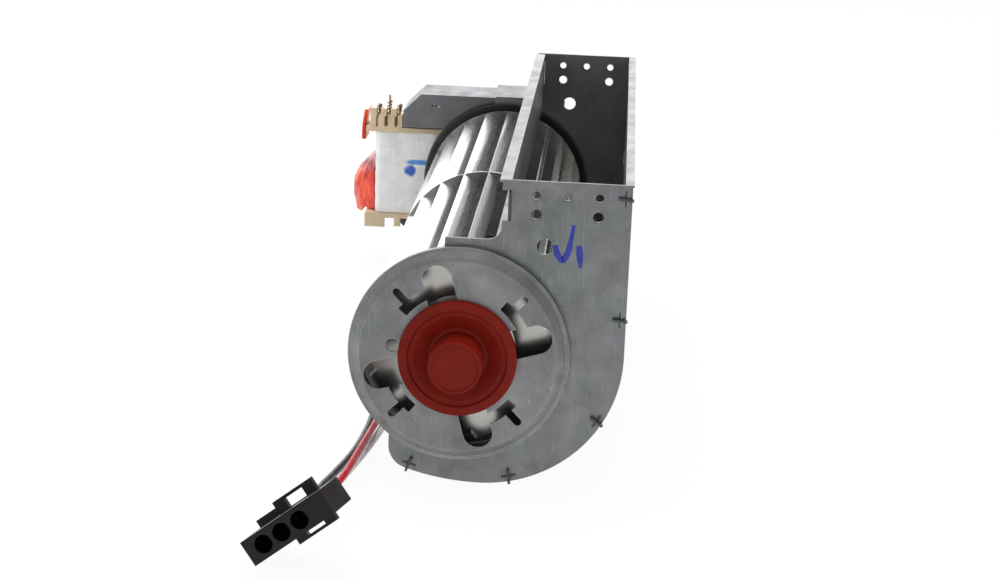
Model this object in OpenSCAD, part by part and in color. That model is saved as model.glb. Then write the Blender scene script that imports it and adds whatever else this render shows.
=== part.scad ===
// Tangential blower for a cooking range: crossflow impeller in a sheet-metal scroll,
// driven at the far end by a small shaded-pole motor with a three-wire lead.
// The model is drawn about the impeller axis: X to the scroll side, Y towards the motor, Z to the outlet.
// Its origin is then moved to the middle screw hole of the front plate's upper row.

/* [Housing] */
// Distance over the outer faces of the two side plates
housing_len = 240; // [120:1:400]
// Thickness of the galvanised sheet
sheet_t = 0.8; // [0.6:0.1:1]
// Height of the outlet edge above the impeller axis
outlet_top = 57.5; // [56:0.5:75]
// Left edge of the plates at the outlet, from the axis
outlet_left = 12.2; // [11:0.1:14]
// Radius of the scroll's outline
scroll_r = 45.1; // [44:0.1:48]
// Scroll centre, sideways from the impeller axis
scroll_x = 7.75; // [6:0.25:9]
// Scroll centre, above the impeller axis
scroll_z = 1; // [0:0.25:2]
// Radius of the flatter arc under the scroll
base_r = 80; // [70:1:100]
// Radius of the plates' rounded foot
foot_r = 8; // [6:0.5:9]
// Left edge of the plates' foot, from the axis
foot_left = -22; // [-24:0.5:-20]
// Rim of plate outside the scroll sheet
edge_margin = 1.55; // [1.2:0.05:2]
// Radius of the opening in each plate
opening_r = 31; // [30.6:0.1:31.2]
// Height of the ear beside the inlet
ear_top = 38; // [37:0.5:40]
// Left end of the ear
ear_left = -5.5; // [-8:0.5:0]

/* [Screw holes in the plates] */
// Height of the upper row above the axis
row_z = 52.8; // [51:0.1:54]
// Middle hole of the upper row, from the axis
row_x = 32.7; // [31:0.1:34]
// Spacing of the three holes in the upper row
row_pitch = 9.95; // [8:0.05:11]
// Radius of the upper holes
row_hole_r = 1.65; // [1.2:0.05:2]
// Height of the lower pair above the axis
pair_z = 46.7; // [45:0.1:48]
// Spacing of the lower pair
pair_pitch = 19.5; // [15:0.5:22]
// Radius of the lower pair's holes
pair_hole_r = 2; // [1.5:0.05:2.4]
// Radius of the single large hole
large_hole_r = 2.6; // [2:0.1:3]

/* [Stitch tabs] */
// Length of a tab along the sheet
tab_len = 4.8; // [3:0.1:5]
// How far a twisted tab stands out of the plate
tab_out = 1.6; // [1:0.1:2]
// Twist of a tab's head
tab_twist = 85; // [45:5:90]

/* [Impeller] */
// Outside radius of the impeller
impeller_r = 32.5; // [31.5:0.1:33]
// Inside radius of the blade ring
blade_in_r = 25.5; // [24.5:0.1:26.5]
// Number of blades
blade_count = 22; // [12:1:22]
// Radius of a blade's curve
blade_curve = 6.95; // [6.5:0.05:8]
// Thickness of a blade
blade_t = 0.5; // [0.4:0.05:0.6]
// Thickness of the impeller discs
disc_t = 0.8; // [0.6:0.1:1]
// Inner face of the front disc, from the front plate
front_disc_y = 4.8; // [4.6:0.1:6]
// Inner face of the rear disc, from the rear plate
rear_disc_gap = 4.7; // [4.5:0.1:6]
// Position of the middle disc along the impeller
middle_share = 0.495; // [0.4:0.005:0.6]

/* [Covers and front bearing] */
// Outside radius of the dished covers
cover_r = 35.5; // [35.2:0.1:37]
// Height of a cover's dish
dish_h = 1.5; // [1.2:0.1:2.5]
// Radius of the hole for the rubber boot and for the drive hub
cover_hole_r = 12; // [11:0.1:13]
// Radius of the boot's flange
boot_r = 19; // [18.8:0.1:20]
// Thickness of the boot's flange
boot_flange = 5; // [4:0.1:6]
// Radius of the boot's central boss
boss_r = 8.45; // [7.5:0.05:9.5]
// How far the boss stands out of the cover
boss_out = 13.7; // [12.5:0.1:16]
// Outside radius of the front bearing bush
bush_r = 5.5; // [4.5:0.1:6]
// Length of the front bearing bush
bush_len = 12; // [9:0.5:12]
// Radius of the front stub shaft
stub_r = 3; // [2:0.1:4]

/* [Motor] */
// Front face of the lamination stack, from the rear plate
stack_gap = 18; // [18:0.5:24]
// Thickness of the lamination stack
stack_t = 20; // [12:0.5:30]
// Half height of the stack
stack_half = 27; // [26.5:0.1:30]
// Right side of the stack, from the axis
stack_right = 20; // [18:0.5:26]
// Radius of the stator bore
stator_bore_r = 11.4; // [11:0.1:12]
// Air gap between rotor and stator
air_gap = 0.3; // [0.25:0.01:0.5]
// Radius of the motor shaft
shaft_r = 2.5; // [2:0.05:3]
// Radius of the ball-shaped motor bearings
ball_r = 5; // [4.8:0.1:5.4]
// Height of each motor screw from the axis
screw_z = 22.5; // [22:0.1:23]
// Radius of the motor screws
screw_r = 2; // [1.5:0.05:2.2]
// Depth of the bearing brackets
bracket_h = 11.5; // [11.5:0.1:12.5]

/* [Coil] */
// Left side of the lamination leg, from the axis
leg_left = -49.6; // [-52:0.1:-49]
// Width of the lamination leg
leg_w = 12; // [10:0.1:13]
// Half height of the winding
coil_half = 18.3; // [17:0.1:18.4]
// Thickness of the winding on each side of the leg
coil_side = 8.6; // [6:0.1:8.8]
// Thickness of the tape round the winding
tape_t = 0.5; // [0.3:0.05:0.8]
// Thickness of the bobbin's flanges
flange_t = 2; // [1.4:0.1:2.1]

/* [Leads and connector] */
// Radius of a lead over its insulation
lead_r = 1.2; // [0.8:0.05:1.3]
// Length of the connector's row
plug_w = 28; // [27:0.5:30]
// Height of the connector body
plug_h = 8; // [8:0.1:10]
// Depth of the connector
plug_d = 24.5; // [24:0.5:28]
// Pitch of the connector's circuits
plug_pitch = 6.35; // [6.1:0.05:7]
// Sideways offset of the connector's middle circuit
plug_shift = -2; // [-2.5:0.5:1]

/* [Hidden] */
$fn = 96;
fit = 0.05;             // between pieces pushed together
run_fit = 0.04;         // between a shaft and its bearing, on the radius
loose = 0.2;            // screws in their holes, and the leg in the bobbin
tiny = 0.01;
far = 200;              // larger than any outline, for cutting wedges

wall_right = scroll_x + scroll_r;
wall_out = wall_right - edge_margin;
wall_in = wall_out - sheet_t;
sheet_mid = edge_margin + sheet_t / 2;
base_z = scroll_z - scroll_r + base_r;
foot_x = foot_left + foot_r;
foot_z = base_z - sqrt(pow(base_r - foot_r, 2) - pow(foot_x - scroll_x, 2));
foot_angle = atan2(foot_z - base_z, foot_x - scroll_x);
foot_end = foot_z + 3;
floor_z = scroll_z - scroll_r;
ring_r = cover_r - 0.6;
notch_w = 2.8;
notch_low = 44.3;
notch_high = 54.2;
ear_fillet = 4.2;

cutoff_x = outlet_left + 1.9;
cutoff_nose = 3;
cutoff_low = 36;
lip_out = 2;

blade_out_r = impeller_r - 0.2;
blade_rear_y = housing_len - rear_disc_gap;
middle_y = housing_len * middle_share;
blade_far = sqrt(pow(blade_in_r, 2) + pow(blade_curve, 2));
blade_turn = atan(blade_curve / blade_in_r);
blade_sweep = 90 + blade_turn - acos((pow(blade_out_r, 2) - pow(blade_far, 2) - pow(blade_curve, 2))
    / (2 * blade_far * blade_curve));
tip_tab_from = 0.32 * blade_sweep;
tip_tab_sweep = 0.36 * blade_sweep;
tip_tab_out = 1;

stack_y = housing_len + stack_gap;
stack_end = stack_y + stack_t;
leg_right = leg_left + leg_w;
window_right = -28;
arm_in = coil_half + flange_t + 0.1;
strap_t = 1.2;
strap_w = 14;
strap_leg_z = 17.6;
ball_half = 3.5;
ball_back = 3;          // centre of a ball behind the face of its bracket
clip_t = 0.4;
bobbin_wall = 1;
coil_left = leg_left - coil_side;
coil_right = leg_right + coil_side - bobbin_wall;
coil_front = stack_y - 8;
coil_back = stack_end + 8;
block_top = 28.5;
block_left = -60.2;
block_right = -46.4;

arm_top = 37;
arm_left = -45.5;
arm_right = 24;
arm_low = 22.5;
arm_y = housing_len + dish_h;
arm_chamfer = 7.3;
flange_short = 22.7;
flange_long = flange_short + 7.6;

plug_at = [-41, -86, -27.4];
plug_turn = [-12, -38, -4];      // pitch, roll and turn of the connector on the surface
plug_bore_r = 2.7;
plug_rear_r = 1.7;
contact_from = 12.5;
contact_to = 20;
loop_x = [-5.5, 8.3];
loop_y = [20, 23];

// The leads run from the coil over the motor, down behind it and forward along the surface.
route_black = [[-46.4, 253.2, 24.5], [-44.4, 253.2, 24.5], [-41, 253.5, 25.5], [-38, 255.4, 28.2],
    [-37, 260, 29.6], [-37, 270, 29.8], [-37, 282, 29.2], [-37, 289, 25], [-37, 292, 18],
    [-37, 293, 0], [-37, 292, -22], [-36.6, 288, -35], [-34.5, 280, -41.5], [-34, 270, -42.8],
    [-34, 220, -42.8], [-34, 160, -42.8], [-34, 100, -42.8], [-33.8, 60, -42.8],
    [-33.8, 40, -42.4], [-34.6, 10, -39.8], [-37.2, -20, -36.4], [-38.6, -40, -33.4],
    [-40.58, -57.37, -34.74], [-40.92, -62.25, -33.7], [-41.23, -66.64, -32.76]];
route_red = [[-46.4, 250.6, 24.5], [-44.4, 250.6, 24.5], [-40, 250.8, 25.5], [-35.5, 252.4, 28],
    [-34, 259, 29.6], [-34, 270, 29.8], [-34, 282, 29.2], [-34, 289, 25], [-34, 292, 18],
    [-34, 293, 0], [-34, 292, -22], [-33.4, 288, -35], [-31.4, 280, -41.5], [-31, 270, -42.8],
    [-31, 220, -42.8], [-31, 160, -42.8], [-31, 110, -42.8], [-31, 80, -42.6],
    [-31.1, 50, -41.2], [-31.4, 30, -39.4], [-31.8, 0, -35.8], [-32.6, -30, -32.6],
    [-35.53, -56.9, -30.92], [-35.87, -61.77, -29.88], [-36.18, -66.17, -28.94]];
route_white = [[-46.4, 255.8, 24.5], [-44.4, 255.8, 24.7], [-42.4, 256.3, 26.8], [-41, 257.4, 28.6],
    [-40, 262, 29.8], [-40, 270, 29.8], [-40, 282, 29.2], [-40, 289, 25], [-40, 292, 18],
    [-40, 295, 0], [-40, 295.5, -22], [-37, 294, -34], [-29, 287, -41], [-28, 276, -42.8],
    [-28, 220, -42.8], [-28, 160, -42.8], [-28, 100, -42.8], [-28.2, 60, -42.8],
    [-30, 34, -42.8], [-35, 0, -42.8], [-40.5, -32, -41.9], [-43.6, -46, -40.6],
    [-45.63, -57.83, -38.57], [-45.97, -62.7, -37.53], [-46.28, -67.1, -36.59]];

BLADES = [for (i = [1 : blade_count]) str("blade_", i < 10 ? "0" : "", i)];

// A flat outline in X and Z, as thick as t along Y, with its near face at y.
module slab(y, t) translate([0, y + t, 0]) rotate([90, 0, 0]) linear_extrude(t) children();

// A round bar along the impeller axis.
module bar(y, length, r) translate([0, y, 0]) rotate([-90, 0, 0]) cylinder(h = length, r = r);

// A turned or pressed form about the impeller axis, from its half section in radius and Y.
module turned() rotate([-90, 0, 0]) rotate_extrude() children();

// The sector from angle a to angle b, under 180 degrees.
module wedge(a, b) polygon([[0, 0], far * [cos(a), sin(a)],
    far * [cos((a + b) / 2), sin((a + b) / 2)], far * [cos(b), sin(b)]]);

// Part of a flat ring with outside radius r and width w, from angle a to angle b.
module arc_strip(r, w, a, b) intersection() {
    difference() {
        circle(r = r);
        circle(r = r - w);
    }
    wedge(a, b);
}

// Places of the stitch tabs along the scroll sheet: x, z and the direction across the sheet.
function on_arc(cx, cz, r, a) = [cx + r * cos(a), cz + r * sin(a), a];
scroll_tabs = [
    [wall_right - sheet_mid, notch_high - 1.1, 0],
    [wall_right - sheet_mid, scroll_z + 12.7, 0],
    on_arc(scroll_x, scroll_z, scroll_r - sheet_mid, -30),
    on_arc(scroll_x, scroll_z, scroll_r - sheet_mid, -77),
    on_arc(scroll_x, base_z, base_r - sheet_mid, foot_angle + 0.5)];

// Outline of a side plate without its holes.
module plate_outline() {
    intersection() {
        translate([scroll_x, scroll_z]) circle(r = scroll_r);
        translate([scroll_x, scroll_z - far]) square([far, far]);
    }
    intersection() {
        translate([scroll_x, base_z]) circle(r = base_r);
        translate([foot_x + foot_r * cos(foot_angle), floor_z - 1])
            square([scroll_x - foot_x - foot_r * cos(foot_angle), 1 - floor_z]);
    }
    translate([foot_x, foot_z]) circle(r = foot_r);
    translate([foot_left, foot_z]) square([foot_r, 8]);
    translate([foot_x, foot_z]) square([scroll_x - foot_x, -foot_z]);
    translate([outlet_left, 0]) square([wall_right - outlet_left, outlet_top]);
    translate([scroll_x, 0]) square([wall_right - scroll_x, scroll_z]);
    translate([ear_left, 0]) square([outlet_left - ear_left, ear_top]);
    difference() {
        translate([outlet_left - ear_fillet, ear_top]) square(ear_fillet);
        translate([outlet_left - ear_fillet, ear_top + ear_fillet]) circle(r = ear_fillet);
    }
    circle(r = ring_r);
}

module plate_holes() {
    for (i = [-1 : 1]) translate([row_x + i * row_pitch, row_z]) circle(r = row_hole_r);
    for (i = [-1, 1]) translate([row_x + i * pair_pitch / 2, pair_z]) circle(r = pair_hole_r);
    translate([row_x - 6.6, row_z - 16.3]) circle(r = large_hole_r);
}

// The side plate with its impeller opening, the notch for the cutoff sheet and the tab slots.
module side_plate() slab(0, sheet_t) difference() {
    plate_outline();
    circle(r = opening_r);
    plate_holes();
    translate([outlet_left - tiny, notch_low]) square([notch_w, notch_high - notch_low]);
    for (p = scroll_tabs) translate([p[0], p[1]]) rotate(p[2])
        square([sheet_t + 2 * fit, tab_len + 2 * fit], center = true);
}

module front_side_plate() color("#7d8184") side_plate();
module rear_side_plate() color("#6d7174") translate([0, housing_len, 0]) mirror([0, 1, 0]) side_plate();

// One stitch tab: a tongue through the plate and its twisted head in front of it.
module stitch_tab(p) translate([p[0], 0, p[1]]) rotate([0, -p[2], 0]) {
    translate([-sheet_t / 2, -fit, -tab_len / 2]) cube([sheet_t, sheet_t + fit + 0.5, tab_len]);
    translate([0, -fit - tab_out / 2 + tiny, 0]) rotate([0, -tab_twist, 0])
        cube([sheet_t, tab_out, tab_len], center = true);
}

module both_ends() {
    children();
    translate([0, housing_len, 0]) mirror([0, 1, 0]) children();
}

// The scroll is one bent sheet, stitched into both plates.
module scroll_sheet() color("#85898c") {
    slab(sheet_t, housing_len - 2 * sheet_t) {
        translate([wall_in, scroll_z]) square([sheet_t, outlet_top - scroll_z]);
        translate([wall_in, outlet_top - sheet_t]) square([sheet_t + lip_out, sheet_t]);
        translate([scroll_x, scroll_z]) arc_strip(scroll_r - edge_margin, sheet_t, -90, 0);
        translate([scroll_x, base_z]) arc_strip(base_r - edge_margin, sheet_t, foot_angle, -90);
        translate([foot_x, foot_z]) arc_strip(foot_r - edge_margin, sheet_t, -180, foot_angle);
        translate([foot_left + edge_margin, foot_z]) square([sheet_t, foot_end - foot_z]);
    }
    both_ends() for (p = scroll_tabs) stitch_tab(p);
}

// The cutoff sheet closes the outlet towards the inlet and ends in a rounded nose over the impeller.
module cutoff_sheet() color("#8b8f92") {
    slab(sheet_t, housing_len - 2 * sheet_t) {
        translate([cutoff_x, cutoff_low]) square([sheet_t, outlet_top - 0.2 - cutoff_low]);
        translate([cutoff_x - cutoff_nose + 0.1, outlet_top - 0.2 - sheet_t])
            square([cutoff_nose, sheet_t]);
        translate([cutoff_x + sheet_t - cutoff_nose, cutoff_low])
            arc_strip(cutoff_nose, sheet_t, -90, 0);
        translate([cutoff_x + sheet_t - cutoff_nose - 2.4, cutoff_low - cutoff_nose])
            square([2.4, sheet_t]);
    }
    both_ends() translate([cutoff_x, -0.6, notch_low + 0.3])
        cube([sheet_t, sheet_t + 1.2, notch_high - notch_low - 0.6]);
}

// Half section of a dished cover with its seat at y 0 and its rim at dish_h + sheet_t.
module dish_section() polygon([[cover_hole_r, 0], [cover_r - 3.7, 0], [cover_r - 0.9, dish_h],
    [cover_r, dish_h], [cover_r, dish_h + sheet_t], [cover_r - 1.1, dish_h + sheet_t],
    [cover_r - 3.9, sheet_t], [cover_hole_r, sheet_t]]);

// One of the four groups of cut-outs: a lobe, an arc slit beside the boot and a radial slot.
module cover_window() {
    rotate(16) {
        translate([17, -4.75]) square([9.2, 9.5]);
        translate([26.2, 0]) circle(r = 4.75);
    }
    arc_strip(24.5, 3.5, 16, 52);
    rotate(44) {
        translate([22, -1.3]) square([6.6, 2.6]);
        translate([28.6, 0]) circle(r = 1.3);
    }
}

module front_cover() color("#808487") difference() {
    mirror([0, 1, 0]) turned() dish_section();
    slab(-sheet_t - 1, sheet_t + 2) {
        for (k = [0 : 3]) rotate(90 * k) cover_window();
        rotate(172) translate([21, 0]) circle(r = 2.3);
    }
}

// Silicone boot: flange with a step, a funnel and the closed boss that holds the bush.
boot_front = -sheet_t - boot_flange;
boss_front = -sheet_t - boss_out;
module bearing_boot() color("#8c2319") turned() polygon([[0, boss_front + 0.5],
    [boss_r - 1.2, boss_front + 0.5], [boss_r - 0.8, boss_front], [boss_r - 0.4, boss_front],
    [boss_r, boss_front + 0.5], [boss_r, boot_front + 3.2], [boss_r + 1, boot_front + 3.4],
    [boot_r - 4.9, boot_front + 0.9], [boot_r - 3.3, boot_front + 0.8], [boot_r - 3, boot_front],
    [boot_r - 0.7, boot_front], [boot_r - 0.2, boot_front + 0.25], [boot_r, boot_front + 0.8],
    [boot_r, -sheet_t], [cover_hole_r - fit, -sheet_t], [cover_hole_r - fit, 0],
    [cover_hole_r + 2, 0], [cover_hole_r + 1.6, 1.4], [bush_r + fit / 2, 1.4],
    [bush_r + fit / 2, boss_front + 2.2], [0, boss_front + 2.2]]);

bush_y = boss_front + 2.3;
module front_bearing() color("#9a6b3c") turned() polygon([[stub_r + run_fit, bush_y],
    [bush_r - 0.5, bush_y], [bush_r, bush_y + 0.5], [bush_r, bush_y + bush_len - 0.5],
    [bush_r - 0.5, bush_y + bush_len], [stub_r + run_fit, bush_y + bush_len]]);

// The motor's cover is the same dish with an arm beside it, its top edge folded over the motor.
arm_slope = arm_chamfer + 0.5;
arm_step = -6.6;
arm_edge = [[arm_left + 0.5, arm_top - arm_chamfer], [arm_left + arm_slope, arm_top],
    [arm_right, arm_top]];
module motor_cover() color("#55585c") {
    difference() {
        translate([0, housing_len, 0]) turned() dish_section();
        for (s = [-1, 1]) translate([0, housing_len - 1, s * screw_z]) rotate([-90, 0, 0])
            cylinder(h = sheet_t + 2, r = screw_r + loose);
    }
    slab(arm_y, sheet_t) difference() {
        polygon(concat(arm_edge, [[arm_right, arm_low], [arm_left, arm_low]]));
        circle(r = cover_r - 0.5);
        translate([-33.2, 31.5]) square([3.6, 1.2]);
    }
    slab(arm_y, sheet_t + flange_short) polygon(concat(arm_edge, [[arm_right, arm_top - sheet_t],
        [arm_left + arm_slope + sheet_t * tan(22.5), arm_top - sheet_t],
        arm_edge[0] + sheet_t * [sin(45), -sin(45)]]));
    slab(arm_y, sheet_t + flange_long) translate([arm_step, arm_top - sheet_t])
        square([arm_right - arm_step, sheet_t]);
}

// Part of a blade's curved strip: from its start angle over its sweep, thickness t, from y to y + length.
module curved_strip(i, from, sweep, t, y, length) {
    a = 360 / blade_count * i;
    translate([0, y + length, 0]) rotate([90, 0, 0])
        translate(blade_far * [cos(a + blade_turn), sin(a + blade_turn), 0])
            rotate([0, 0, a - 90 + from]) rotate_extrude(angle = sweep)
                translate([blade_curve - t / 2, 0]) square([t, length]);
}

// A blade: one curved strip, cut back at both ends to the tabs that pass through the end discs.
module blade(i) color("#c9ccce") difference() {
    reach = disc_t + tip_tab_out;
    tab_end = tip_tab_from + tip_tab_sweep;
    curved_strip(i, 0, blade_sweep, blade_t, front_disc_y - reach,
        blade_rear_y - front_disc_y + 2 * reach);
    for (y = [front_disc_y - reach - 1, blade_rear_y]) {
        curved_strip(i, -4, tip_tab_from + 4, blade_t + 1, y, reach + 1);
        curved_strip(i, tab_end, blade_sweep + 4 - tab_end, blade_t + 1, y, reach + 1);
    }
}

module tab_slots(y) for (i = [1 : blade_count])
    curved_strip(i, tip_tab_from - 0.7, tip_tab_sweep + 1.4, blade_t + 2 * fit, y - 1, disc_t + 2);

// The front disc is pressed to a shallow cone round its hub.
module impeller_front_disc() color("#c2c5c7") difference() {
    translate([0, front_disc_y - disc_t, 0]) turned() polygon([[stub_r + fit, -1.2], [12, -1.2],
        [18, 0], [impeller_r, 0], [impeller_r, disc_t], [18, disc_t], [12, disc_t - 1.2],
        [stub_r + fit, disc_t - 1.2]]);
    tab_slots(front_disc_y - disc_t);
}

// The middle disc has open slots that the blades lie in.
module impeller_middle_disc() color("#c2c5c7") difference() {
    translate([0, middle_y, 0]) turned() translate([8, 0]) square([impeller_r - 8, disc_t]);
    for (i = [1 : blade_count])
        curved_strip(i, -0.6, blade_sweep + 8, blade_t + 2 * fit, middle_y - 1, disc_t + 2);
}

hub_neck_r = 6;
module impeller_rear_disc() color("#c2c5c7") difference() {
    translate([0, blade_rear_y, 0]) turned() translate([hub_neck_r + fit, 0])
        square([impeller_r - hub_neck_r - fit, disc_t]);
    tab_slots(blade_rear_y);
}

// Turned stub with a shoulder behind the front disc.
hub_face = front_disc_y - 1.2;
module front_stub_shaft() color("#a9acae") turned() polygon([[0, bush_y + 0.8],
    [stub_r - 0.4, bush_y + 0.8], [stub_r, bush_y + 1.2], [stub_r, hub_face], [7.5, hub_face],
    [7.5, hub_face + 2.2], [4.5, hub_face + 2.2], [4.5, hub_face + 5], [0, hub_face + 5]]);

// Hub between the rear disc and the motor shaft, clamped by one set screw.
hub_from = blade_rear_y - 13;
hub_screw_y = hub_from + 4;
module drive_hub() color("#b6b9bb") difference() {
    turned() polygon([[shaft_r + 0.02, hub_from], [7, hub_from], [7, blade_rear_y - 2],
        [10, blade_rear_y - 2], [10, blade_rear_y], [hub_neck_r, blade_rear_y],
        [hub_neck_r, blade_rear_y + disc_t + 0.6], [shaft_r + 0.02, blade_rear_y + disc_t + 0.6]]);
    translate([0, hub_screw_y, 0]) cylinder(h = 10, r = 1.5 + tiny);
}

module hub_set_screw() color("#3d4042") translate([0, hub_screw_y, shaft_r + fit]) difference() {
    cylinder(h = 4.4, r = 1.5);
    translate([0, 0, 3]) cylinder(h = 3, r = 0.85, $fn = 6);
}

shaft_from = hub_from + 1;
shaft_to = stack_end + bracket_h + 2.5;
module motor_shaft() color("#b9bcbe") bar(shaft_from, shaft_to - shaft_from, shaft_r);

rotor_r = stator_bore_r - air_gap;
end_ring = 2.2;
module motor_rotor() color("#8f9396") turned() polygon([[shaft_r + tiny, stack_y - end_ring],
    [rotor_r - 0.4, stack_y - end_ring], [rotor_r - 0.4, stack_y], [rotor_r, stack_y],
    [rotor_r, stack_end], [rotor_r - 0.4, stack_end], [rotor_r - 0.4, stack_end + end_ring],
    [shaft_r + tiny, stack_end + end_ring]]);

// Each pole has one shading ring, through two holes in its laminations.
shade_r = 1.3;
shade_at = stator_bore_r + 3.2;
shade_angles = [40, 80];
module shading_holes() for (pole = [0, 180], a = shade_angles)
    rotate(pole + a) translate([shade_at, 0]) circle(r = shade_r + loose);

// C-shaped stack: two poles round the rotor and two arms that hold the leg.
module stator_stack() color("#6f7376") slab(stack_y, stack_t) difference() {
    polygon([[leg_right + fit, stack_half], [leg_right + fit, arm_in], [window_right, arm_in],
        [window_right, -arm_in], [leg_right + fit, -arm_in], [leg_right + fit, -stack_half],
        [stack_right - 9, -stack_half], [stack_right, 9 - stack_half],
        [stack_right, stack_half - 9], [stack_right - 9, stack_half]]);
    circle(r = stator_bore_r);
    translate([window_right - 1, -2]) square([-window_right + 1 - stator_bore_r - 1.2, 4]);
    translate([stator_bore_r + 1.2, -1.5]) square([4, 3]);
    for (s = [-1, 1]) translate([0, s * screw_z]) circle(r = screw_r + loose);
    shading_holes();
}

leg_chamfer = 5;
module stator_leg() color("#777b7e") slab(stack_y, stack_t) polygon([[leg_right, -stack_half],
    [leg_right, stack_half], [leg_left + leg_chamfer, stack_half],
    [leg_left, stack_half - leg_chamfer], [leg_left, leg_chamfer - stack_half],
    [leg_left + leg_chamfer, -stack_half]]);

module shading_rings() color("#b06a3c") for (pole = [0, 180]) rotate([0, -pole, 0]) {
    slab(stack_y - 1.6, stack_t + 3.2) for (a = shade_angles)
        rotate(a) translate([shade_at, 0]) circle(r = shade_r);
    middle = (shade_angles[0] + shade_angles[1]) / 2;
    half = (shade_angles[1] - shade_angles[0]) / 2;
    for (y = [stack_y - 1.6, stack_end + fit]) slab(y, 1.6 - fit) rotate(middle)
        translate([shade_at * cos(half) - shade_r, -shade_at * sin(half)])
            square([2 * shade_r, 2 * shade_at * sin(half)]);
}

// Side section of a bearing bracket in Y and Z, with its feet on the stack at y 0.
module strap_section() for (s = [0, 1]) mirror([0, s]) {
    translate([0, strap_leg_z]) square([strap_t, stack_half - strap_leg_z]);
    translate([0, strap_leg_z]) square([bracket_h, strap_t]);
    translate([bracket_h - strap_t, -tiny]) square([strap_t, strap_leg_z + strap_t + tiny]);
}

// A stamped bracket that bridges the rotor and seats the ball bearing; dir is -1 in front, 1 behind.
module motor_bracket(face, dir) difference() {
    translate([-strap_w / 2, face, 0]) multmatrix([[0, 0, 1, 0], [dir, 0, 0, 0], [0, 1, 0, 0]])
        linear_extrude(strap_w) strap_section();
    translate([0, face + dir * bracket_h, 0]) rotate([90, 0, 0])
        cylinder(h = 4 * strap_t, r = seat_r, center = true);
    for (s = [-1, 1]) translate([0, face, s * screw_z]) rotate([90, 0, 0])
        cylinder(h = 4 * strap_t, r = screw_r + loose, center = true);
}

seat_r = sqrt(pow(ball_r, 2) - pow(ball_back - strap_t, 2)) + run_fit;
front_ball_y = stack_y - bracket_h + ball_back;
rear_ball_y = stack_end + bracket_h - ball_back;
module front_motor_bracket() color("#9b9fa2") motor_bracket(stack_y, -1);
module rear_motor_bracket() color("#9b9fa2") motor_bracket(stack_end, 1);

module motor_bearing(y) translate([0, y, 0]) turned() intersection() {
    circle(r = ball_r);
    translate([shaft_r + run_fit, -ball_half]) square([ball_r, 2 * ball_half]);
}
module front_motor_bearing() color("#a0743f") motor_bearing(front_ball_y);
module rear_motor_bearing() color("#a0743f") motor_bearing(rear_ball_y);

// A spring plate between each bracket's legs holds the ball in its seat.
clip_back = ball_back - strap_t + clip_t / 2;
module bearing_clips() color("#c4c7c9") for (y = [front_ball_y + clip_back, rear_ball_y - clip_back])
    slab(y - clip_t / 2, clip_t) difference() {
        square([10, 2 * (strap_leg_z - fit)], center = true);
        circle(r = seat_r + 0.02);
    }

module motor_spacers() color("#b4b7b9") for (s = [-1, 1]) difference() {
    translate([0, 0, s * screw_z]) bar(housing_len + sheet_t,
        stack_gap - sheet_t - strap_t, screw_r + 1.6);
    translate([0, 0, s * screw_z]) bar(housing_len, stack_gap, screw_r + loose);
}

head_h = 2.4;
nut_h = 3.2;
nut_face = stack_end + strap_t;
module motor_screws() color("#c2c5c7") for (s = [-1, 1]) translate([0, 0, s * screw_z]) {
    difference() {
        bar(housing_len - head_h, head_h, 1.9 * screw_r);
        translate([-4, housing_len - head_h - 1, -0.4]) cube([8, 2.1, 0.8]);
    }
    bar(housing_len - tiny, nut_face + nut_h + 2 - housing_len, screw_r);
}

module motor_nuts() color("#c2c5c7") for (s = [-1, 1]) translate([0, nut_face, s * screw_z])
    rotate([-90, 0, 0]) difference() {
        cylinder(h = nut_h, r = 2.02 * screw_r, $fn = 6);
        translate([0, 0, -1]) cylinder(h = nut_h + 2, r = screw_r + tiny);
    }

// A box given by its two corners.
module between(a, b) translate(a) cube(b - a);

// The bobbin: a square tube on the leg with a flange at each end and the terminal block on top.
flange_left = coil_left - 3.9;
flange_right = window_right - 0.6;
module coil_bobbin() color("#d7c8a5") difference() {
    union() {
        between([leg_left - loose - bobbin_wall, stack_y - loose - bobbin_wall, -coil_half - tiny],
            [leg_right + loose + bobbin_wall, stack_end + loose + bobbin_wall, coil_half + tiny]);
        for (z = [-coil_half - flange_t, coil_half])
            between([flange_left, coil_front - 1, z],
                [flange_right, coil_back + 1, z + flange_t]);
        between([flange_left, coil_front - 1, -coil_half - flange_t - 4.2],
            [flange_left + 8.8, coil_front + 0.2, -coil_half]);
        between([flange_left + 13, coil_front - 1, -coil_half - flange_t - 3.6],
            [flange_left + 15.8, coil_front + 0.2, -coil_half]);
        between([block_left, coil_front - 1, coil_half],
            [block_right, stack_y - 0.4, block_top - 2.6]);
        for (x = [block_left, block_left + 4.4, block_left + 8.8])
            between([x, coil_front - 1, block_top - 2.7], [x + 2.6, coil_front + 4, block_top]);
    }
    between([leg_left - loose, stack_y - loose, -stack_half],
        [leg_right + loose, stack_end + loose, stack_half]);
    for (x = [block_left + 6.1, block_left + 10.5])
        between([x, coil_front - 2, coil_half + flange_t + 0.8],
            [x + 1.4, coil_front + 1.2, block_top - 3.4]);
}

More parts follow.
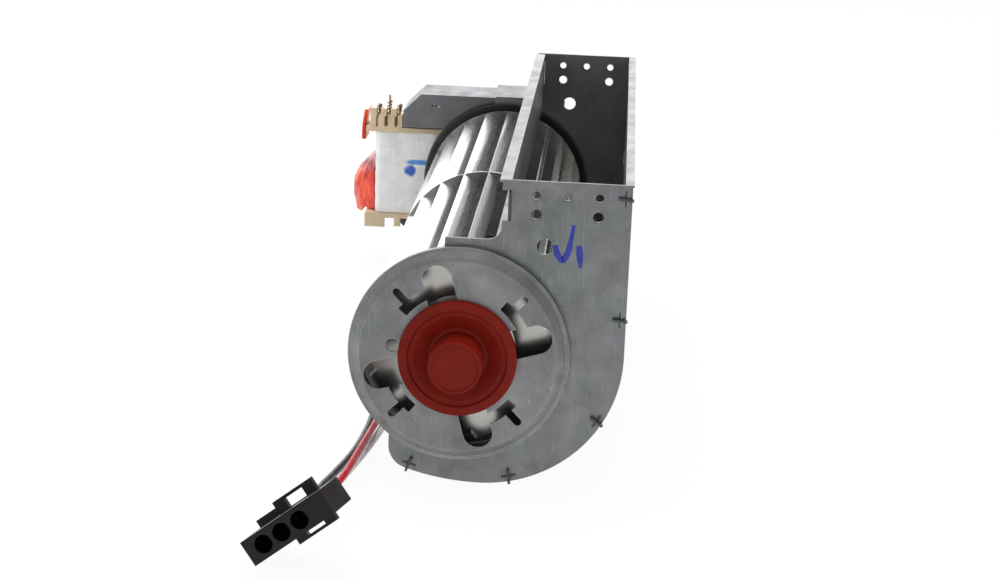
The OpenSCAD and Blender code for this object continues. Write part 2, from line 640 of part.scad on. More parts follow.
// The wire on the bobbin, and the white tape round it.
winding_gap = loose + bobbin_wall + fit;
module round_box(x0, x1, y0, y1, r, half) translate([0, 0, -half]) linear_extrude(2 * half) {
    translate([x0 + r, y0]) square([x1 - x0 - 2 * r, y1 - y0]);
    translate([x0, y0 + r]) square([x1 - x0, y1 - y0 - 2 * r]);
    for (x = [x0 + r, x1 - r], y = [y0 + r, y1 - r]) translate([x, y]) circle(r = r);
}
module coil_winding() color("#b5763c") difference() {
    round_box(coil_left + tape_t + fit, coil_right - tape_t - fit, coil_front + tape_t + fit,
        coil_back - tape_t - fit, 2.5, coil_half - fit);
    between([leg_left - winding_gap, stack_y - winding_gap, -stack_half],
        [leg_right + winding_gap, stack_end + winding_gap, stack_half]);
}
module coil_tape() color("#e9e7e4") difference() {
    round_box(coil_left, coil_right, coil_front, coil_back, 3, coil_half - 2 * fit);
    round_box(coil_left + tape_t, coil_right - tape_t, coil_front + tape_t, coil_back - tape_t,
        3 - tape_t, stack_half);
}

// Square pins that the coil wire and the leads are joined to.
pin_half = 0.4;
pin_x = [block_left + 3.5, block_left + 7.9, block_left + 12.3];
module coil_terminals() color("#a98f5f") for (i = [0 : 2])
    between([pin_x[i] - pin_half, coil_front + 2.4, block_top - 2.6],
        [pin_x[i] + pin_half, coil_front + 3.2, block_top + (i == 1 ? 5.5 : 1.5)]);

// Crinkled insulation film that bulges out at the coil's left side, and its end above the flange.
film_t = 0.3;
film_rows = 10;
film_cols = 8;
film_from = -coil_half + 0.3;
film_to = 9.4;
function crease(i, j) = 0.45 * ((i + 2 * j) % 3 - 1);
function film_point(i, j, out) = let(
        v = i / film_rows,
        u = j / film_cols,
        bulge = 10.6 * sin(45 + 135 * pow(v, 1.35)) * sin(180 * u),
        edge = i == 0 || j == 0 || j == film_cols ? 0 : crease(i, j))
    [coil_left - 0.15 - max(bulge + edge, 0) - out, coil_front + 3 + (coil_back - coil_front - 6) * u,
        film_from + (film_to - film_from) * v];
function film_id(i, j, side) = side * (film_rows + 1) * (film_cols + 1) + i * (film_cols + 1) + j;
module insulation_film() color("#d9503c") {
    points = [for (side = [0, 1], i = [0 : film_rows], j = [0 : film_cols])
        film_point(i, j, side * film_t)];
    faces = concat(
        [for (i = [0 : film_rows - 1], j = [0 : film_cols - 1], s = [0, 1]) s == 0
            ? [film_id(i, j, 0), film_id(i + 1, j, 0), film_id(i + 1, j + 1, 0)]
            : [film_id(i, j, 0), film_id(i + 1, j + 1, 0), film_id(i, j + 1, 0)]],
        [for (i = [0 : film_rows - 1], j = [0 : film_cols - 1], s = [0, 1]) s == 0
            ? [film_id(i, j, 1), film_id(i + 1, j + 1, 1), film_id(i + 1, j, 1)]
            : [film_id(i, j, 1), film_id(i, j + 1, 1), film_id(i + 1, j + 1, 1)]],
        [for (i = [0 : film_rows - 1]) each [
            [film_id(i, 0, 0), film_id(i, 0, 1), film_id(i + 1, 0, 1), film_id(i + 1, 0, 0)],
            [film_id(i, film_cols, 0), film_id(i + 1, film_cols, 0),
                film_id(i + 1, film_cols, 1), film_id(i, film_cols, 1)]]],
        [for (j = [0 : film_cols - 1]) each [
            [film_id(0, j, 0), film_id(0, j + 1, 0), film_id(0, j + 1, 1), film_id(0, j, 1)],
            [film_id(film_rows, j, 0), film_id(film_rows, j, 1),
                film_id(film_rows, j + 1, 1), film_id(film_rows, j + 1, 0)]]]);
    polyhedron(points = points, faces = faces);
    translate([flange_left - 0.9, coil_front + 2, 14.7]) rotate([0, 4, 0]) {
        translate([-3.4, 0, 0]) cube([3.4 + film_t, film_t, 14]);
        cube([film_t, 24, 14]);
    }
}

// Tube swept along a route: one ring of lead_sides points at each route point.
lead_sides = 8;
function unit(v) = v / norm(v);
function heading(p, i) = unit(i == 0 ? p[1] - p[0] : i == len(p) - 1 ? p[i] - p[i - 1]
    : unit(p[i + 1] - p[i]) + unit(p[i] - p[i - 1]));
function across(n, t) = unit(n - (n * t) * t);
function sides_of(p, i, n) = i == len(p) ? []
    : let(m = across(n, heading(p, i))) concat([m], sides_of(p, i + 1, m));
module tube(p, r) {
    m = sides_of(p, 0, [0, 0, 1]);
    points = [for (i = [0 : len(p) - 1], k = [0 : lead_sides - 1])
        let(b = cross(heading(p, i), m[i]), a = 360 / lead_sides * (k + 0.5))
            p[i] + r * (cos(a) * m[i] + sin(a) * b)];
    last = (len(p) - 1) * lead_sides;
    faces = concat([[for (k = [lead_sides - 1 : -1 : 0]) k]],
        [[for (k = [0 : lead_sides - 1]) last + k]],
        [for (i = [0 : len(p) - 2], k = [0 : lead_sides - 1]) let(n = (k + 1) % lead_sides)
            each [[i * lead_sides + k, i * lead_sides + n, (i + 1) * lead_sides + n],
                [i * lead_sides + k, (i + 1) * lead_sides + n, (i + 1) * lead_sides + k]]]);
    polyhedron(points = points, faces = [for (f = faces) [for (k = [len(f) - 1 : -1 : 0]) f[k]]]);
}

module lead_black() color("#232323") tube(route_black, lead_r);
module lead_red() color("#b3262f") tube(route_red, lead_r);
module lead_white() color("#e8e8e6") tube(route_white, lead_r);

// The connector lies rolled over on the surface, with its mating face at its own y 0.
module plug_place() translate(plug_at) rotate([0, 0, plug_turn[2]]) rotate([plug_turn[0], 0, 0])
    rotate([0, plug_turn[1], 0]) children();

module at_circuits() for (i = [-1 : 1]) translate([plug_shift + i * plug_pitch, 0, 0]) rotate([-90, 0, 0])
    children();

// A guide loop on one side of the connector, with a window through it.
module guide_loop(z0, z1, window) difference() {
    between([loop_x[0], loop_y[0], min(z0, z1)], [loop_x[1], loop_y[1], max(z0, z1)]);
    between([loop_x[0] + 3.7, loop_y[0] - 1, window[0]],
        [loop_x[1] - 3.7, loop_y[1] + 1, window[1]]);
}

module connector_housing() color("#1d1d1f") plug_place() difference() {
    union() {
        between([-plug_w / 2, 0, -plug_h / 2], [plug_w / 2, plug_d, plug_h / 2]);
        guide_loop(plug_h / 2 - tiny, plug_h / 2 + 4.2, [plug_h / 2 + 0.3, plug_h / 2 + 3.2]);
        guide_loop(-plug_h / 2 + tiny, -plug_h / 2 - 2.6, [-plug_h / 2 - 1.7, -plug_h / 2 - 0.3]);
        between([-plug_w / 2 + 1.7, loop_y[0] - 1, plug_h / 2 - tiny],
            [-plug_w / 2 + 8.2, loop_y[1], plug_h / 2 + 2.4]);
    }
    at_circuits() {
        translate([0, 0, -1]) cylinder(h = 17, r = plug_bore_r);
        cylinder(h = plug_d + 1, r = plug_rear_r);
    }
}

module connector_contacts() color("#b8964f") plug_place() at_circuits()
    translate([0, 0, contact_from]) difference() {
        cylinder(h = contact_to - contact_from, r = plug_rear_r - fit);
        translate([0, 0, -1]) cylinder(h = 6, r = 1.05);
    }

// Moves the model from the impeller axis to its mounting point on the front plate.
module placed() translate([-row_x, 0, -row_z]) children();

placed() front_side_plate();
placed() rear_side_plate();
placed() scroll_sheet();
placed() cutoff_sheet();
placed() front_cover();
placed() bearing_boot();
placed() front_bearing();
placed() motor_cover();
placed() impeller_front_disc();
placed() impeller_middle_disc();
placed() impeller_rear_disc();
placed() front_stub_shaft();
placed() drive_hub();
placed() hub_set_screw();
placed() motor_shaft();
placed() motor_rotor();
placed() stator_stack();
placed() stator_leg();
placed() shading_rings();
placed() front_motor_bracket();
placed() rear_motor_bracket();
placed() front_motor_bearing();
placed() rear_motor_bearing();
placed() bearing_clips();
placed() motor_spacers();
placed() motor_screws();
placed() motor_nuts();
placed() coil_bobbin();
placed() coil_winding();
placed() coil_tape();
placed() coil_terminals();
placed() insulation_film();
placed() lead_black();
placed() lead_red();
placed() lead_white();
placed() connector_housing();
placed() connector_contacts();
for (i = [1 : blade_count]) placed() blade(i);
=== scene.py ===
"""Looks of a tangential blower for a cooking range: finishes, dressed pieces, camera, light and floor."""

from __future__ import annotations

import logging
import math
from collections.abc import Callable
from dataclasses import dataclass
from enum import Enum

import bpy
from mathutils import Euler, Matrix, Vector, noise


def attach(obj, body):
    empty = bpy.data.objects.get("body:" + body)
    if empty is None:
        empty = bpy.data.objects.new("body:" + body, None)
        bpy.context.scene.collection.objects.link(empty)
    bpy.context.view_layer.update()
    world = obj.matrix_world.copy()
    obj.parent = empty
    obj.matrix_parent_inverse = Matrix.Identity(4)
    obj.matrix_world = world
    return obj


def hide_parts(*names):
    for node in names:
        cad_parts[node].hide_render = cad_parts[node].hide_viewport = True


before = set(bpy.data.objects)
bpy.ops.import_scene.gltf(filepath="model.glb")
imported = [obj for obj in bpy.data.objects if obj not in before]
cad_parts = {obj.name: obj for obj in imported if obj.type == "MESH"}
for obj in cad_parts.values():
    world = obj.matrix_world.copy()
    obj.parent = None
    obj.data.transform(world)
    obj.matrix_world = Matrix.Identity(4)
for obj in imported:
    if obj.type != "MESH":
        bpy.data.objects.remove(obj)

LOG = logging.getLogger("blower")
MM = 0.001
MOUNT = Vector((32.7, 0.0, 52.8))  # the middle upper screw hole, from the impeller axis, mm
HOUSING_LENGTH = 240.0  # over the two side plates, mm
HOUSING = "housing"  # the body that every added piece rides on
FACTOR, COLOUR_A, COLOUR_B, MIXED = 0, 6, 7, 2  # sockets of a colour mix
VALUE_A, VALUE_B = 2, 3  # sockets of a value mix

Triple = tuple[float, float, float]


def at(x: float, y: float, z: float) -> Vector:
    """Turns a point from the impeller axis, in millimetres, into the row frame in metres."""
    return (Vector((x, y, z)) - MOUNT) * MM


def linear(colour: str) -> tuple[float, float, float, float]:
    """Turns an sRGB hex colour into linear light.

    Args:
        colour: six hex digits with a leading hash.

    Returns:
        Red, green, blue and an alpha of 1.
    """
    parts = [int(colour[i : i + 2], 16) / 255 for i in (1, 3, 5)]
    light = [c / 12.92 if c <= 0.04045 else ((c + 0.055) / 1.055) ** 2.4 for c in parts]
    return light[0], light[1], light[2], 1.0


def per(size_mm: float) -> float:
    """Gives the texture scale at which one feature is size_mm millimetres wide."""
    return 1 / (size_mm * MM)


def plug(tree: bpy.types.NodeTree, node: bpy.types.Node, inputs: dict) -> None:
    """Sets a node's inputs.

    Args:
        tree: the node tree that the node is in.
        node: the node.
        inputs: input name or number to a value, or to the socket that is linked to it.
    """
    for key, value in inputs.items():
        if isinstance(value, bpy.types.NodeSocket):
            tree.links.new(value, node.inputs[key])
        else:
            node.inputs[key].default_value = value


def add(tree: bpy.types.NodeTree, kind: str, inputs: dict | None = None, **settings: object) -> bpy.types.Node:
    """Adds one node with its settings, values and links.

    Args:
        tree: the node tree that it goes into.
        kind: the node's type name.
        inputs: what its inputs are set to, as in plug.
        settings: the node's own properties.

    Returns:
        The new node.
    """
    node = tree.nodes.new(kind)
    for name, value in settings.items():
        setattr(node, name, value)
    plug(tree, node, inputs or {})
    return node


class Across(Enum):
    """The axis on which a finish's parallel lines follow one another."""

    IMPELLER = "Y"
    UPRIGHT = "Z"


@dataclass(frozen=True)
class Pattern:
    """A noise pattern on object coordinates, with features of a real size.

    Attributes:
        size_mm: width of one feature.
        low: value where the noise is at the start of span.
        high: value where it is at the end of span.
        span: part of the noise that is used.
        stretch: scale along each axis, under 1 for longer features.
        turn: rotation of the pattern in degrees.
        detail: octaves of finer noise.
    """

    size_mm: float
    low: float
    high: float
    span: tuple[float, float] = (0.35, 0.65)
    stretch: Triple = (1, 1, 1)
    turn: Triple = (0, 0, 0)
    detail: float = 3.0

    def value(self, tree: bpy.types.NodeTree) -> bpy.types.NodeSocket:
        """Adds the pattern to a material's tree.

        Args:
            tree: the material's tree.

        Returns:
            Its value, between low and high.
        """
        coords = add(tree, "ShaderNodeTexCoord").outputs["Object"]
        mapped = add(tree, "ShaderNodeMapping", {
            "Vector": coords, "Rotation": [math.radians(a) for a in self.turn], "Scale": self.stretch})
        grain = add(tree, "ShaderNodeTexNoise", {
            "Vector": mapped.outputs[0], "Scale": per(self.size_mm), "Detail": self.detail, "Roughness": 0.55})
        return add(tree, "ShaderNodeMapRange", {
            "Value": grain.outputs[0], "From Min": self.span[0], "From Max": self.span[1],
            "To Min": self.low, "To Max": self.high}).outputs[0]


@dataclass(frozen=True)
class Finish:
    """What a surface is made of and how it was made.

    Attributes:
        name: the finish in a maker's words.
        colour: its sRGB colour.
        roughness: its mean roughness.
        metallic: 1 for bare metal.
    """

    name: str
    colour: str
    roughness: float
    metallic: float = 0.0

    def material(self) -> bpy.types.Material:
        """Builds the material, or finds it where it is built already."""
        found = bpy.data.materials.get(self.name)
        if found is not None:
            return found
        material = bpy.data.materials.new(self.name)
        material.use_nodes = True
        material.diffuse_color = linear(self.colour)
        tree = material.node_tree
        tree.nodes.clear()
        shader = add(tree, "ShaderNodeBsdfPrincipled", {
            "Base Color": linear(self.colour), "Roughness": self.roughness, "Metallic": self.metallic})
        add(tree, "ShaderNodeOutputMaterial", {"Surface": shader.outputs[0]})
        self.dress(tree, shader)
        return material

    def dress(self, tree: bpy.types.NodeTree, shader: bpy.types.Node) -> None:
        """Adds the finish's own patterns to the plain shader.

        Args:
            tree: the material's tree.
            shader: the plain shader with the finish's colour, roughness and metallic.
        """
        raise NotImplementedError

    def rough(self, tree: bpy.types.NodeTree, size_mm: float, less: float, more: float,
              stretch: Triple = (1, 1, 1)) -> bpy.types.NodeSocket:
        """Makes the roughness uneven, from less under to more over its mean."""
        return Pattern(size_mm, self.roughness - less, self.roughness + more, stretch=stretch).value(tree)

    def tint(self, tree: bpy.types.NodeTree, base: object, over: str,
             factor: bpy.types.NodeSocket) -> bpy.types.NodeSocket:
        """Mixes a second sRGB colour over a base colour by a factor."""
        return add(tree, "ShaderNodeMix", {FACTOR: factor, COLOUR_A: base, COLOUR_B: linear(over)},
                   data_type="RGBA").outputs[MIXED]

    def lay(self, tree: bpy.types.NodeTree, base: object, *layers: tuple[str, Pattern]) -> bpy.types.NodeSocket:
        """Lays colours over a base colour, one after the other.

        Args:
            tree: the material's tree.
            base: the first colour or its socket.
            layers: each further sRGB colour with the pattern that spreads it.

        Returns:
            The colour with all of them.
        """
        for over, pattern in layers:
            base = self.tint(tree, base, over, pattern.value(tree))
        return base

    def edges(self, tree: bpy.types.NodeTree, radius_mm: float) -> tuple[bpy.types.Node, bpy.types.NodeSocket]:
        """Rounds the sharp edges for light and finds them.

        Args:
            tree: the material's tree.
            radius_mm: radius of the rounding.

        Returns:
            The bevel node, and a value that is 1 at an edge and 0 elsewhere.
        """
        bevel = add(tree, "ShaderNodeBevel", {"Radius": radius_mm * MM}, samples=4)
        flat = add(tree, "ShaderNodeNewGeometry").outputs["Normal"]
        same = add(tree, "ShaderNodeVectorMath", {0: bevel.outputs[0], 1: flat}, operation="DOT_PRODUCT")
        worn = add(tree, "ShaderNodeMapRange", {
            "Value": same.outputs["Value"], "From Min": 0.99, "From Max": 0.8, "To Min": 0.0, "To Max": 1.0})
        return bevel, worn.outputs[0]


@dataclass(frozen=True)
class GalvanisedSheet(Finish):
    """Hot-dip galvanised sheet: dull grey zinc with faint crystals, rolling streaks, rubs and scratches.

    Attributes:
        dark, light: tones of the smudges and of the crystals and scratches.
        scratch: strength of the scratches.
        crystal_mm: width of a zinc crystal.
        seed: turn of the patterns in degrees, so that two sheets differ.
        head_shade: painted shade on the tab heads outside the side plates, a dark colour that stands for the shadow
            round them.
        ring: strength of the painted shade in the corner round the impeller, a near-black colour that stands for the
            shadow there.
        ring_mm: radii from the impeller axis between which that painted shade fades out.
        edge_mm: width of the bright worn edge.
        worn: tone of that edge.
    """

    dark: str = "#6C6E70"
    light: str = "#A2A4A7"
    scratch: float = 0.3
    crystal_mm: float = 4.0
    seed: float = 0.0
    head_shade: str = ""
    ring: float = 0.0
    ring_mm: tuple[float, float] = (34.4, 36.2)
    edge_mm: float = 0.22
    worn: str = "#D4D5D6"

    def stains(self) -> list[tuple[str, Pattern]]:
        """Lists the broad smudges and the faint green and violet hues of the zinc.

        Returns:
            Each colour with the pattern that spreads it.
        """
        hues = (("#6F7C77", 13, 15), ("#81757F", 17, 70))
        return [(self.dark, Pattern(22, 0.0, 0.6, turn=(self.seed, 0, self.seed)))] + [
            (hue, Pattern(size_mm, 0.0, 0.35, (0.5, 0.7), turn=(angle, self.seed, 0)))
            for hue, size_mm, angle in hues]

    def wear(self) -> list[tuple[str, Pattern]]:
        """Lists the rolling streaks, the scratches in three directions, the bright specks and the pits.

        Returns:
            Each colour with the pattern that spreads it.
        """
        streaks = (self.light, Pattern(1.2, 0.0, 0.05, (0.5, 0.75), (1, 1, 0.03)))
        scratches = [
            (self.light, Pattern(0.55, 0.0, self.scratch * share, (0.68, 0.72), (1, 1, 0.035),
                                 (0, angle + self.seed, 0), detail=1.0))
            for angle, share in ((24.0, 1.0), (-38.0, 0.8), (81.0, 0.6))]
        specks = ("#C4C6C8", Pattern(0.7, 0.0, 0.8, (0.70, 0.74), detail=2.0))
        pits = ("#4C4D4F", Pattern(1.1, 0.0, 0.5, (0.73, 0.77), turn=(40, 10, 0), detail=2.0))
        return [streaks, *scratches, specks, pits]

    def past_plates(self, tree: bpy.types.NodeTree, coords: bpy.types.NodeSocket) -> bpy.types.NodeSocket:
        """Finds the tab heads, which stand out past the two side plates.

        Args:
            tree: the material's tree.
            coords: the object coordinates.

        Returns:
            A value that is 1 past the plates and 0 between them.
        """
        half = HOUSING_LENGTH / 2 * MM
        along = add(tree, "ShaderNodeSeparateXYZ", {0: coords}).outputs["Y"]
        from_middle = add(tree, "ShaderNodeMath", {0: along, 1: -half}, operation="ADD")
        reach = add(tree, "ShaderNodeMath", {0: from_middle.outputs[0]}, operation="ABSOLUTE")
        return add(tree, "ShaderNodeMath", {0: reach.outputs[0], 1: half}, operation="GREATER_THAN").outputs[0]

    def near_impeller(self, tree: bpy.types.NodeTree, coords: bpy.types.NodeSocket) -> bpy.types.NodeSocket:
        """Finds the corner round the impeller.

        Args:
            tree: the material's tree.
            coords: the object coordinates.

        Returns:
            The strength of the painted shade, which fades out with the distance from the impeller axis.
        """
        from_axis = add(tree, "ShaderNodeVectorMath", {0: coords, 1: tuple(at(0, 0, 0))}, operation="SUBTRACT")
        across = add(tree, "ShaderNodeVectorMath", {0: from_axis.outputs[0], 1: (1, 0, 1)}, operation="MULTIPLY")
        radius = add(tree, "ShaderNodeVectorMath", {0: across.outputs[0]}, operation="LENGTH")
        return add(tree, "ShaderNodeMapRange", {
            "Value": radius.outputs["Value"], "From Min": self.ring_mm[0] * MM, "From Max": self.ring_mm[1] * MM,
            "To Min": self.ring, "To Max": 0.0}).outputs[0]

    def dress(self, tree: bpy.types.NodeTree, shader: bpy.types.Node) -> None:
        """Adds the stains, crystals, wear and bright cut edges, and painted shade on the tab heads and in the corner
        round the impeller.
        """
        coords = add(tree, "ShaderNodeTexCoord").outputs["Object"]
        crystal = add(tree, "ShaderNodeTexVoronoi", {"Vector": coords, "Scale": per(self.crystal_mm)})
        tone = add(tree, "ShaderNodeMapRange", {
            "Value": crystal.outputs["Color"], "From Min": 0.0, "From Max": 1.0, "To Min": 0.0, "To Max": 0.2})
        bevel, worn = self.edges(tree, self.edge_mm)
        base = self.lay(tree, linear(self.colour), *self.stains())
        base = self.tint(tree, base, self.light, tone.outputs[0])
        base = self.lay(tree, base, *self.wear())
        base = self.tint(tree, base, self.worn, worn)
        # Painted shade: the tab heads past the side plates are darkened for the shadow round them.
        if self.head_shade:
            base = self.tint(tree, base, self.head_shade, self.past_plates(tree, coords))
        # Painted shade: near black towards the impeller, for the shadow in the corner round it.
        if self.ring:
            base = self.tint(tree, base, "#121213", self.near_impeller(tree, coords))
        bump = add(tree, "ShaderNodeBump", {
            "Height": crystal.outputs["Distance"], "Strength": 0.04, "Distance": 0.2 * MM,
            "Normal": bevel.outputs[0]})
        plug(tree, shader, {
            "Base Color": base, "Roughness": self.rough(tree, 7, 0.09, 0.1), "Normal": bump.outputs[0]})


@dataclass(frozen=True)
class RolledAluminium(Finish):
    """Bright rolled aluminium strip: nearly a mirror, with fine lines along the rolling.

    Attributes:
        line_mm: width of a rolling line, wider than the real 0.05 mm so that it shows.
    """

    line_mm: float = 0.35

    def dress(self, tree: bpy.types.NodeTree, shader: bpy.types.Node) -> None:
        """Adds the rolling lines, light soiling and bright edges."""
        lines = Pattern(self.line_mm, 0.0, 0.1, (0.4, 0.7), (1, 0.015, 1))
        haze = Pattern(9, 0.0, 0.04, (0.5, 0.75), (1, 0.15, 1))
        base = self.lay(tree, linear(self.colour), ("#9EA1A4", lines), ("#A9ABAD", haze))
        bevel, worn = self.edges(tree, 0.12)
        plug(tree, shader, {
            "Base Color": self.tint(tree, base, "#F4F5F5", worn),
            "Roughness": self.rough(tree, 5, 0.02, 0.03, (1, 0.1, 1)), "Normal": bevel.outputs[0]})


@dataclass(frozen=True)
class PlainMetal(Finish):
    """Turned, stamped or plated metal of the small parts, with tool marks and a little oil.

    Attributes:
        mark_mm: width of a tool mark.
        stain: colour of the oil and oxide.
    """

    mark_mm: float = 0.3
    stain: str = "#5A5048"

    def dress(self, tree: bpy.types.NodeTree, shader: bpy.types.Node) -> None:
        """Adds tool marks round the axis, stains and worn edges."""
        stained = Pattern(5, 0.0, 0.4, (0.5, 0.75))
        marks = Pattern(self.mark_mm, 0.0, 0.3, (0.45, 0.7), (0.2, 1, 0.2))
        base = self.lay(tree, linear(self.colour), (self.stain, stained), ("#D0D2D4", marks))
        bevel, worn = self.edges(tree, 0.15)
        plug(tree, shader, {
            "Base Color": self.tint(tree, base, "#E4E6E7", worn),
            "Roughness": self.rough(tree, 2, 0.08, 0.1), "Normal": bevel.outputs[0]})


@dataclass(frozen=True)
class Lined(Finish):
    """A finish with parallel lines at a real pitch.

    Attributes:
        pitch_mm: distance between two lines.
        axis: the axis on which they follow one another.
    """

    pitch_mm: float = 0.5
    axis: Across = Across.IMPELLER

    def lines(self, tree: bpy.types.NodeTree, settings: dict) -> bpy.types.NodeSocket:
        """Adds the lines as a wave.

        Args:
            tree: the material's tree.
            settings: the wave's other inputs.

        Returns:
            The wave's value, from 0 to 1.
        """
        coords = add(tree, "ShaderNodeTexCoord").outputs["Object"]
        # A wave has 20 / (2 pi) bands in a unit at a scale of 1.
        return add(tree, "ShaderNodeTexWave", {
            "Vector": coords, "Scale": per(self.pitch_mm) * math.pi / 10, **settings},
            bands_direction=self.axis.value).outputs["Fac"]


@dataclass(frozen=True)
class Layered(Lined):
    """Stacked sheets or laid wires under a thin varnish: fine dark grooves side by side.

    Attributes:
        groove: colour between two sheets or wires.
    """

    groove: str = "#2A2724"

    def dress(self, tree: bpy.types.NodeTree, shader: bpy.types.Node) -> None:
        """Adds the grooves as colour and relief, rust and the varnish."""
        wave = self.lines(tree, {"Distortion": 0.3, "Detail": 1.0, "Detail Scale": 0.5})
        groove = add(tree, "ShaderNodeMapRange", {
            "Value": wave, "From Min": 0.05, "From Max": 0.5, "To Min": 0.75, "To Max": 0.0})
        base = self.tint(tree, linear(self.colour), self.groove, groove.outputs[0])
        base = self.lay(tree, base, ("#5E4636", Pattern(4, 0.0, 0.4, (0.5, 0.7))))
        bump = add(tree, "ShaderNodeBump", {"Height": wave, "Strength": 0.35, "Distance": 0.1 * MM})
        plug(tree, shader, {
            "Base Color": base, "Normal": bump.outputs[0], "Coat Weight": 0.3, "Coat Roughness": 0.25})


@dataclass(frozen=True)
class Moulded(Finish):
    """Moulded plastic or rubber: an even colour, a fine grain, dust and softly rounded edges.

    Attributes:
        grain_mm, grain: width and strength of the surface's grain.
        dust, dusty: colour and strength of the dust.
        round_mm: radius of the edges.
        inner_light: how far light goes into it, 0 for not at all.
        shine: strength of its mirror light, 0.5 for plain plastic.
    """

    grain_mm: float = 0.4
    grain: float = 0.1
    dust: str = "#B9B4AE"
    dusty: float = 0.25
    round_mm: float = 0.3
    inner_light: float = 0.0
    shine: float = 0.5

    def dress(self, tree: bpy.types.NodeTree, shader: bpy.types.Node) -> None:
        """Adds the grain, the dust, uneven gloss and rounded edges."""
        tone = Pattern(6, 0.0, 0.18)
        specks = Pattern(0.5, 0.0, self.dusty, (0.66, 0.74), detail=2.0)
        bevel, _ = self.edges(tree, self.round_mm)
        bump = add(tree, "ShaderNodeBump", {
            "Height": Pattern(self.grain_mm, 0.0, 1.0, detail=2.0).value(tree), "Strength": self.grain,
            "Distance": 0.1 * MM, "Normal": bevel.outputs[0]})
        plug(tree, shader, {
            "Base Color": self.lay(tree, linear(self.colour), ("#000000", tone), (self.dust, specks)),
            "Roughness": self.rough(tree, 4, 0.06, 0.08), "Normal": bump.outputs[0],
            "Specular IOR Level": self.shine, "Subsurface Weight": self.inner_light, "Subsurface Scale": 2 * MM})


@dataclass(frozen=True)
class WovenTape(Lined):
    """White woven insulating tape: a soft matt cloth with a fine thread grid and an ink dot from winding.

    Attributes:
        ink, smear: colours of the dot and of its smear.
        dot: the dot's place from the impeller axis, mm.
        away: the smear's place from the dot, mm.
    """

    ink: str = "#0058C0"
    smear: str = "#3F8ED6"
    dot: Triple = (-42.5, 249.8, 1.2)
    away: Triple = (4.0, 0.0, 3.9)

    def spot(self, tree: bpy.types.NodeTree, centre: Vector, size_mm: Triple, turn: float) -> bpy.types.NodeSocket:
        """Adds a soft oval mask on the coil's front face.

        Args:
            tree: the material's tree.
            centre: the spot's centre in the row frame.
            size_mm: half sizes of the spot.
            turn: its turn about the Y axis in degrees.

        Returns:
            A value that is 1 inside the spot and 0 outside.
        """
        coords = add(tree, "ShaderNodeTexCoord").outputs["Object"]
        moved = add(tree, "ShaderNodeVectorMath", {0: coords, 1: tuple(centre)}, operation="SUBTRACT")
        turned = add(tree, "ShaderNodeMapping", {
            "Vector": moved.outputs[0], "Rotation": (0, math.radians(turn), 0),
            "Scale": tuple(per(s) for s in size_mm)})
        reach = add(tree, "ShaderNodeVectorMath", {0: turned.outputs[0]}, operation="LENGTH")
        ragged = Pattern(1.4, -0.12, 0.12).value(tree)
        edge = add(tree, "ShaderNodeMath", {0: reach.outputs["Value"], 1: ragged}, operation="ADD")
        return add(tree, "ShaderNodeMapRange", {
            "Value": edge.outputs[0], "From Min": 1.25, "From Max": 0.75, "To Min": 0.0, "To Max": 0.95}).outputs[0]

    def dress(self, tree: bpy.types.NodeTree, shader: bpy.types.Node) -> None:
        """Adds the threads, drawn at 0.5 mm so that they show, the shade in the folds and the ink."""
        threads = self.lines(tree, {"Distortion": 0.5})
        shade = Pattern(5, 0.0, 0.35, stretch=(1, 1, 0.4))
        base = self.lay(tree, linear(self.colour), ("#D9CCC8", shade))
        dot, smear = Vector(self.dot), Vector(self.dot) + Vector(self.away)
        base = self.tint(tree, base, self.ink, self.spot(tree, at(*dot), (2.4, 4.0, 2.4), 0))
        base = self.tint(tree, base, self.smear, self.spot(tree, at(*smear), (5.6, 4.0, 1.2), 17))
        bump = add(tree, "ShaderNodeBump", {"Height": threads, "Strength": 0.12, "Distance": 0.1 * MM})
        plug(tree, shader, {
            "Base Color": base, "Normal": bump.outputs[0], "Subsurface Weight": 0.2, "Subsurface Scale": 2 * MM})


@dataclass(frozen=True)
class RedFilm(Finish):
    """Glossy red polyester film: clear enough to glow at its edges, darker red towards the bulge's top.

    Attributes:
        deep: a darker red towards the bulge's top.
        glow: colour where light comes through.
        deep_z: height from the impeller axis where the deep colour is strongest, mm.
        deep_mm: distances from there between which the deep colour fades out.
    """

    deep: str = "#8C000F"
    glow: str = "#F0603A"
    deep_z: float = 4.0
    deep_mm: tuple[float, float] = (2.0, 11.0)

    def dress(self, tree: bpy.types.NodeTree, shader: bpy.types.Node) -> None:
        """Adds the change from deep red at the bulge's top to orange red, and cloudy creases."""
        coords = add(tree, "ShaderNodeTexCoord").outputs["Object"]
        height = add(tree, "ShaderNodeSeparateXYZ", {0: coords}).outputs["Z"]
        above = add(tree, "ShaderNodeMath", {0: height, 1: at(0, 0, self.deep_z).z}, operation="SUBTRACT")
        away = add(tree, "ShaderNodeMath", {0: above.outputs[0]}, operation="ABSOLUTE")
        share = add(tree, "ShaderNodeMapRange", {
            "Value": away.outputs[0], "From Min": self.deep_mm[0] * MM, "From Max": self.deep_mm[1] * MM,
            "To Min": 1.0, "To Max": 0.0})
        base = self.tint(tree, linear(self.colour), self.deep, share.outputs[0])
        base = self.lay(tree, base, (self.glow, Pattern(5.0, 0.0, 0.7, (0.44, 0.6), (1, 1, 0.5))))
        creases = Pattern(2.6, 0.0, 1.0, stretch=(1, 1, 0.5), detail=1.0).value(tree)
        bump = add(tree, "ShaderNodeBump", {"Height": creases, "Strength": 0.5, "Distance": 0.6 * MM})
        plug(tree, shader, {
            "Base Color": base, "Normal": bump.outputs[0], "Transmission Weight": 0.05,
            "Specular IOR Level": 0.3, "Coat Weight": 0.2, "Coat Roughness": 0.1})


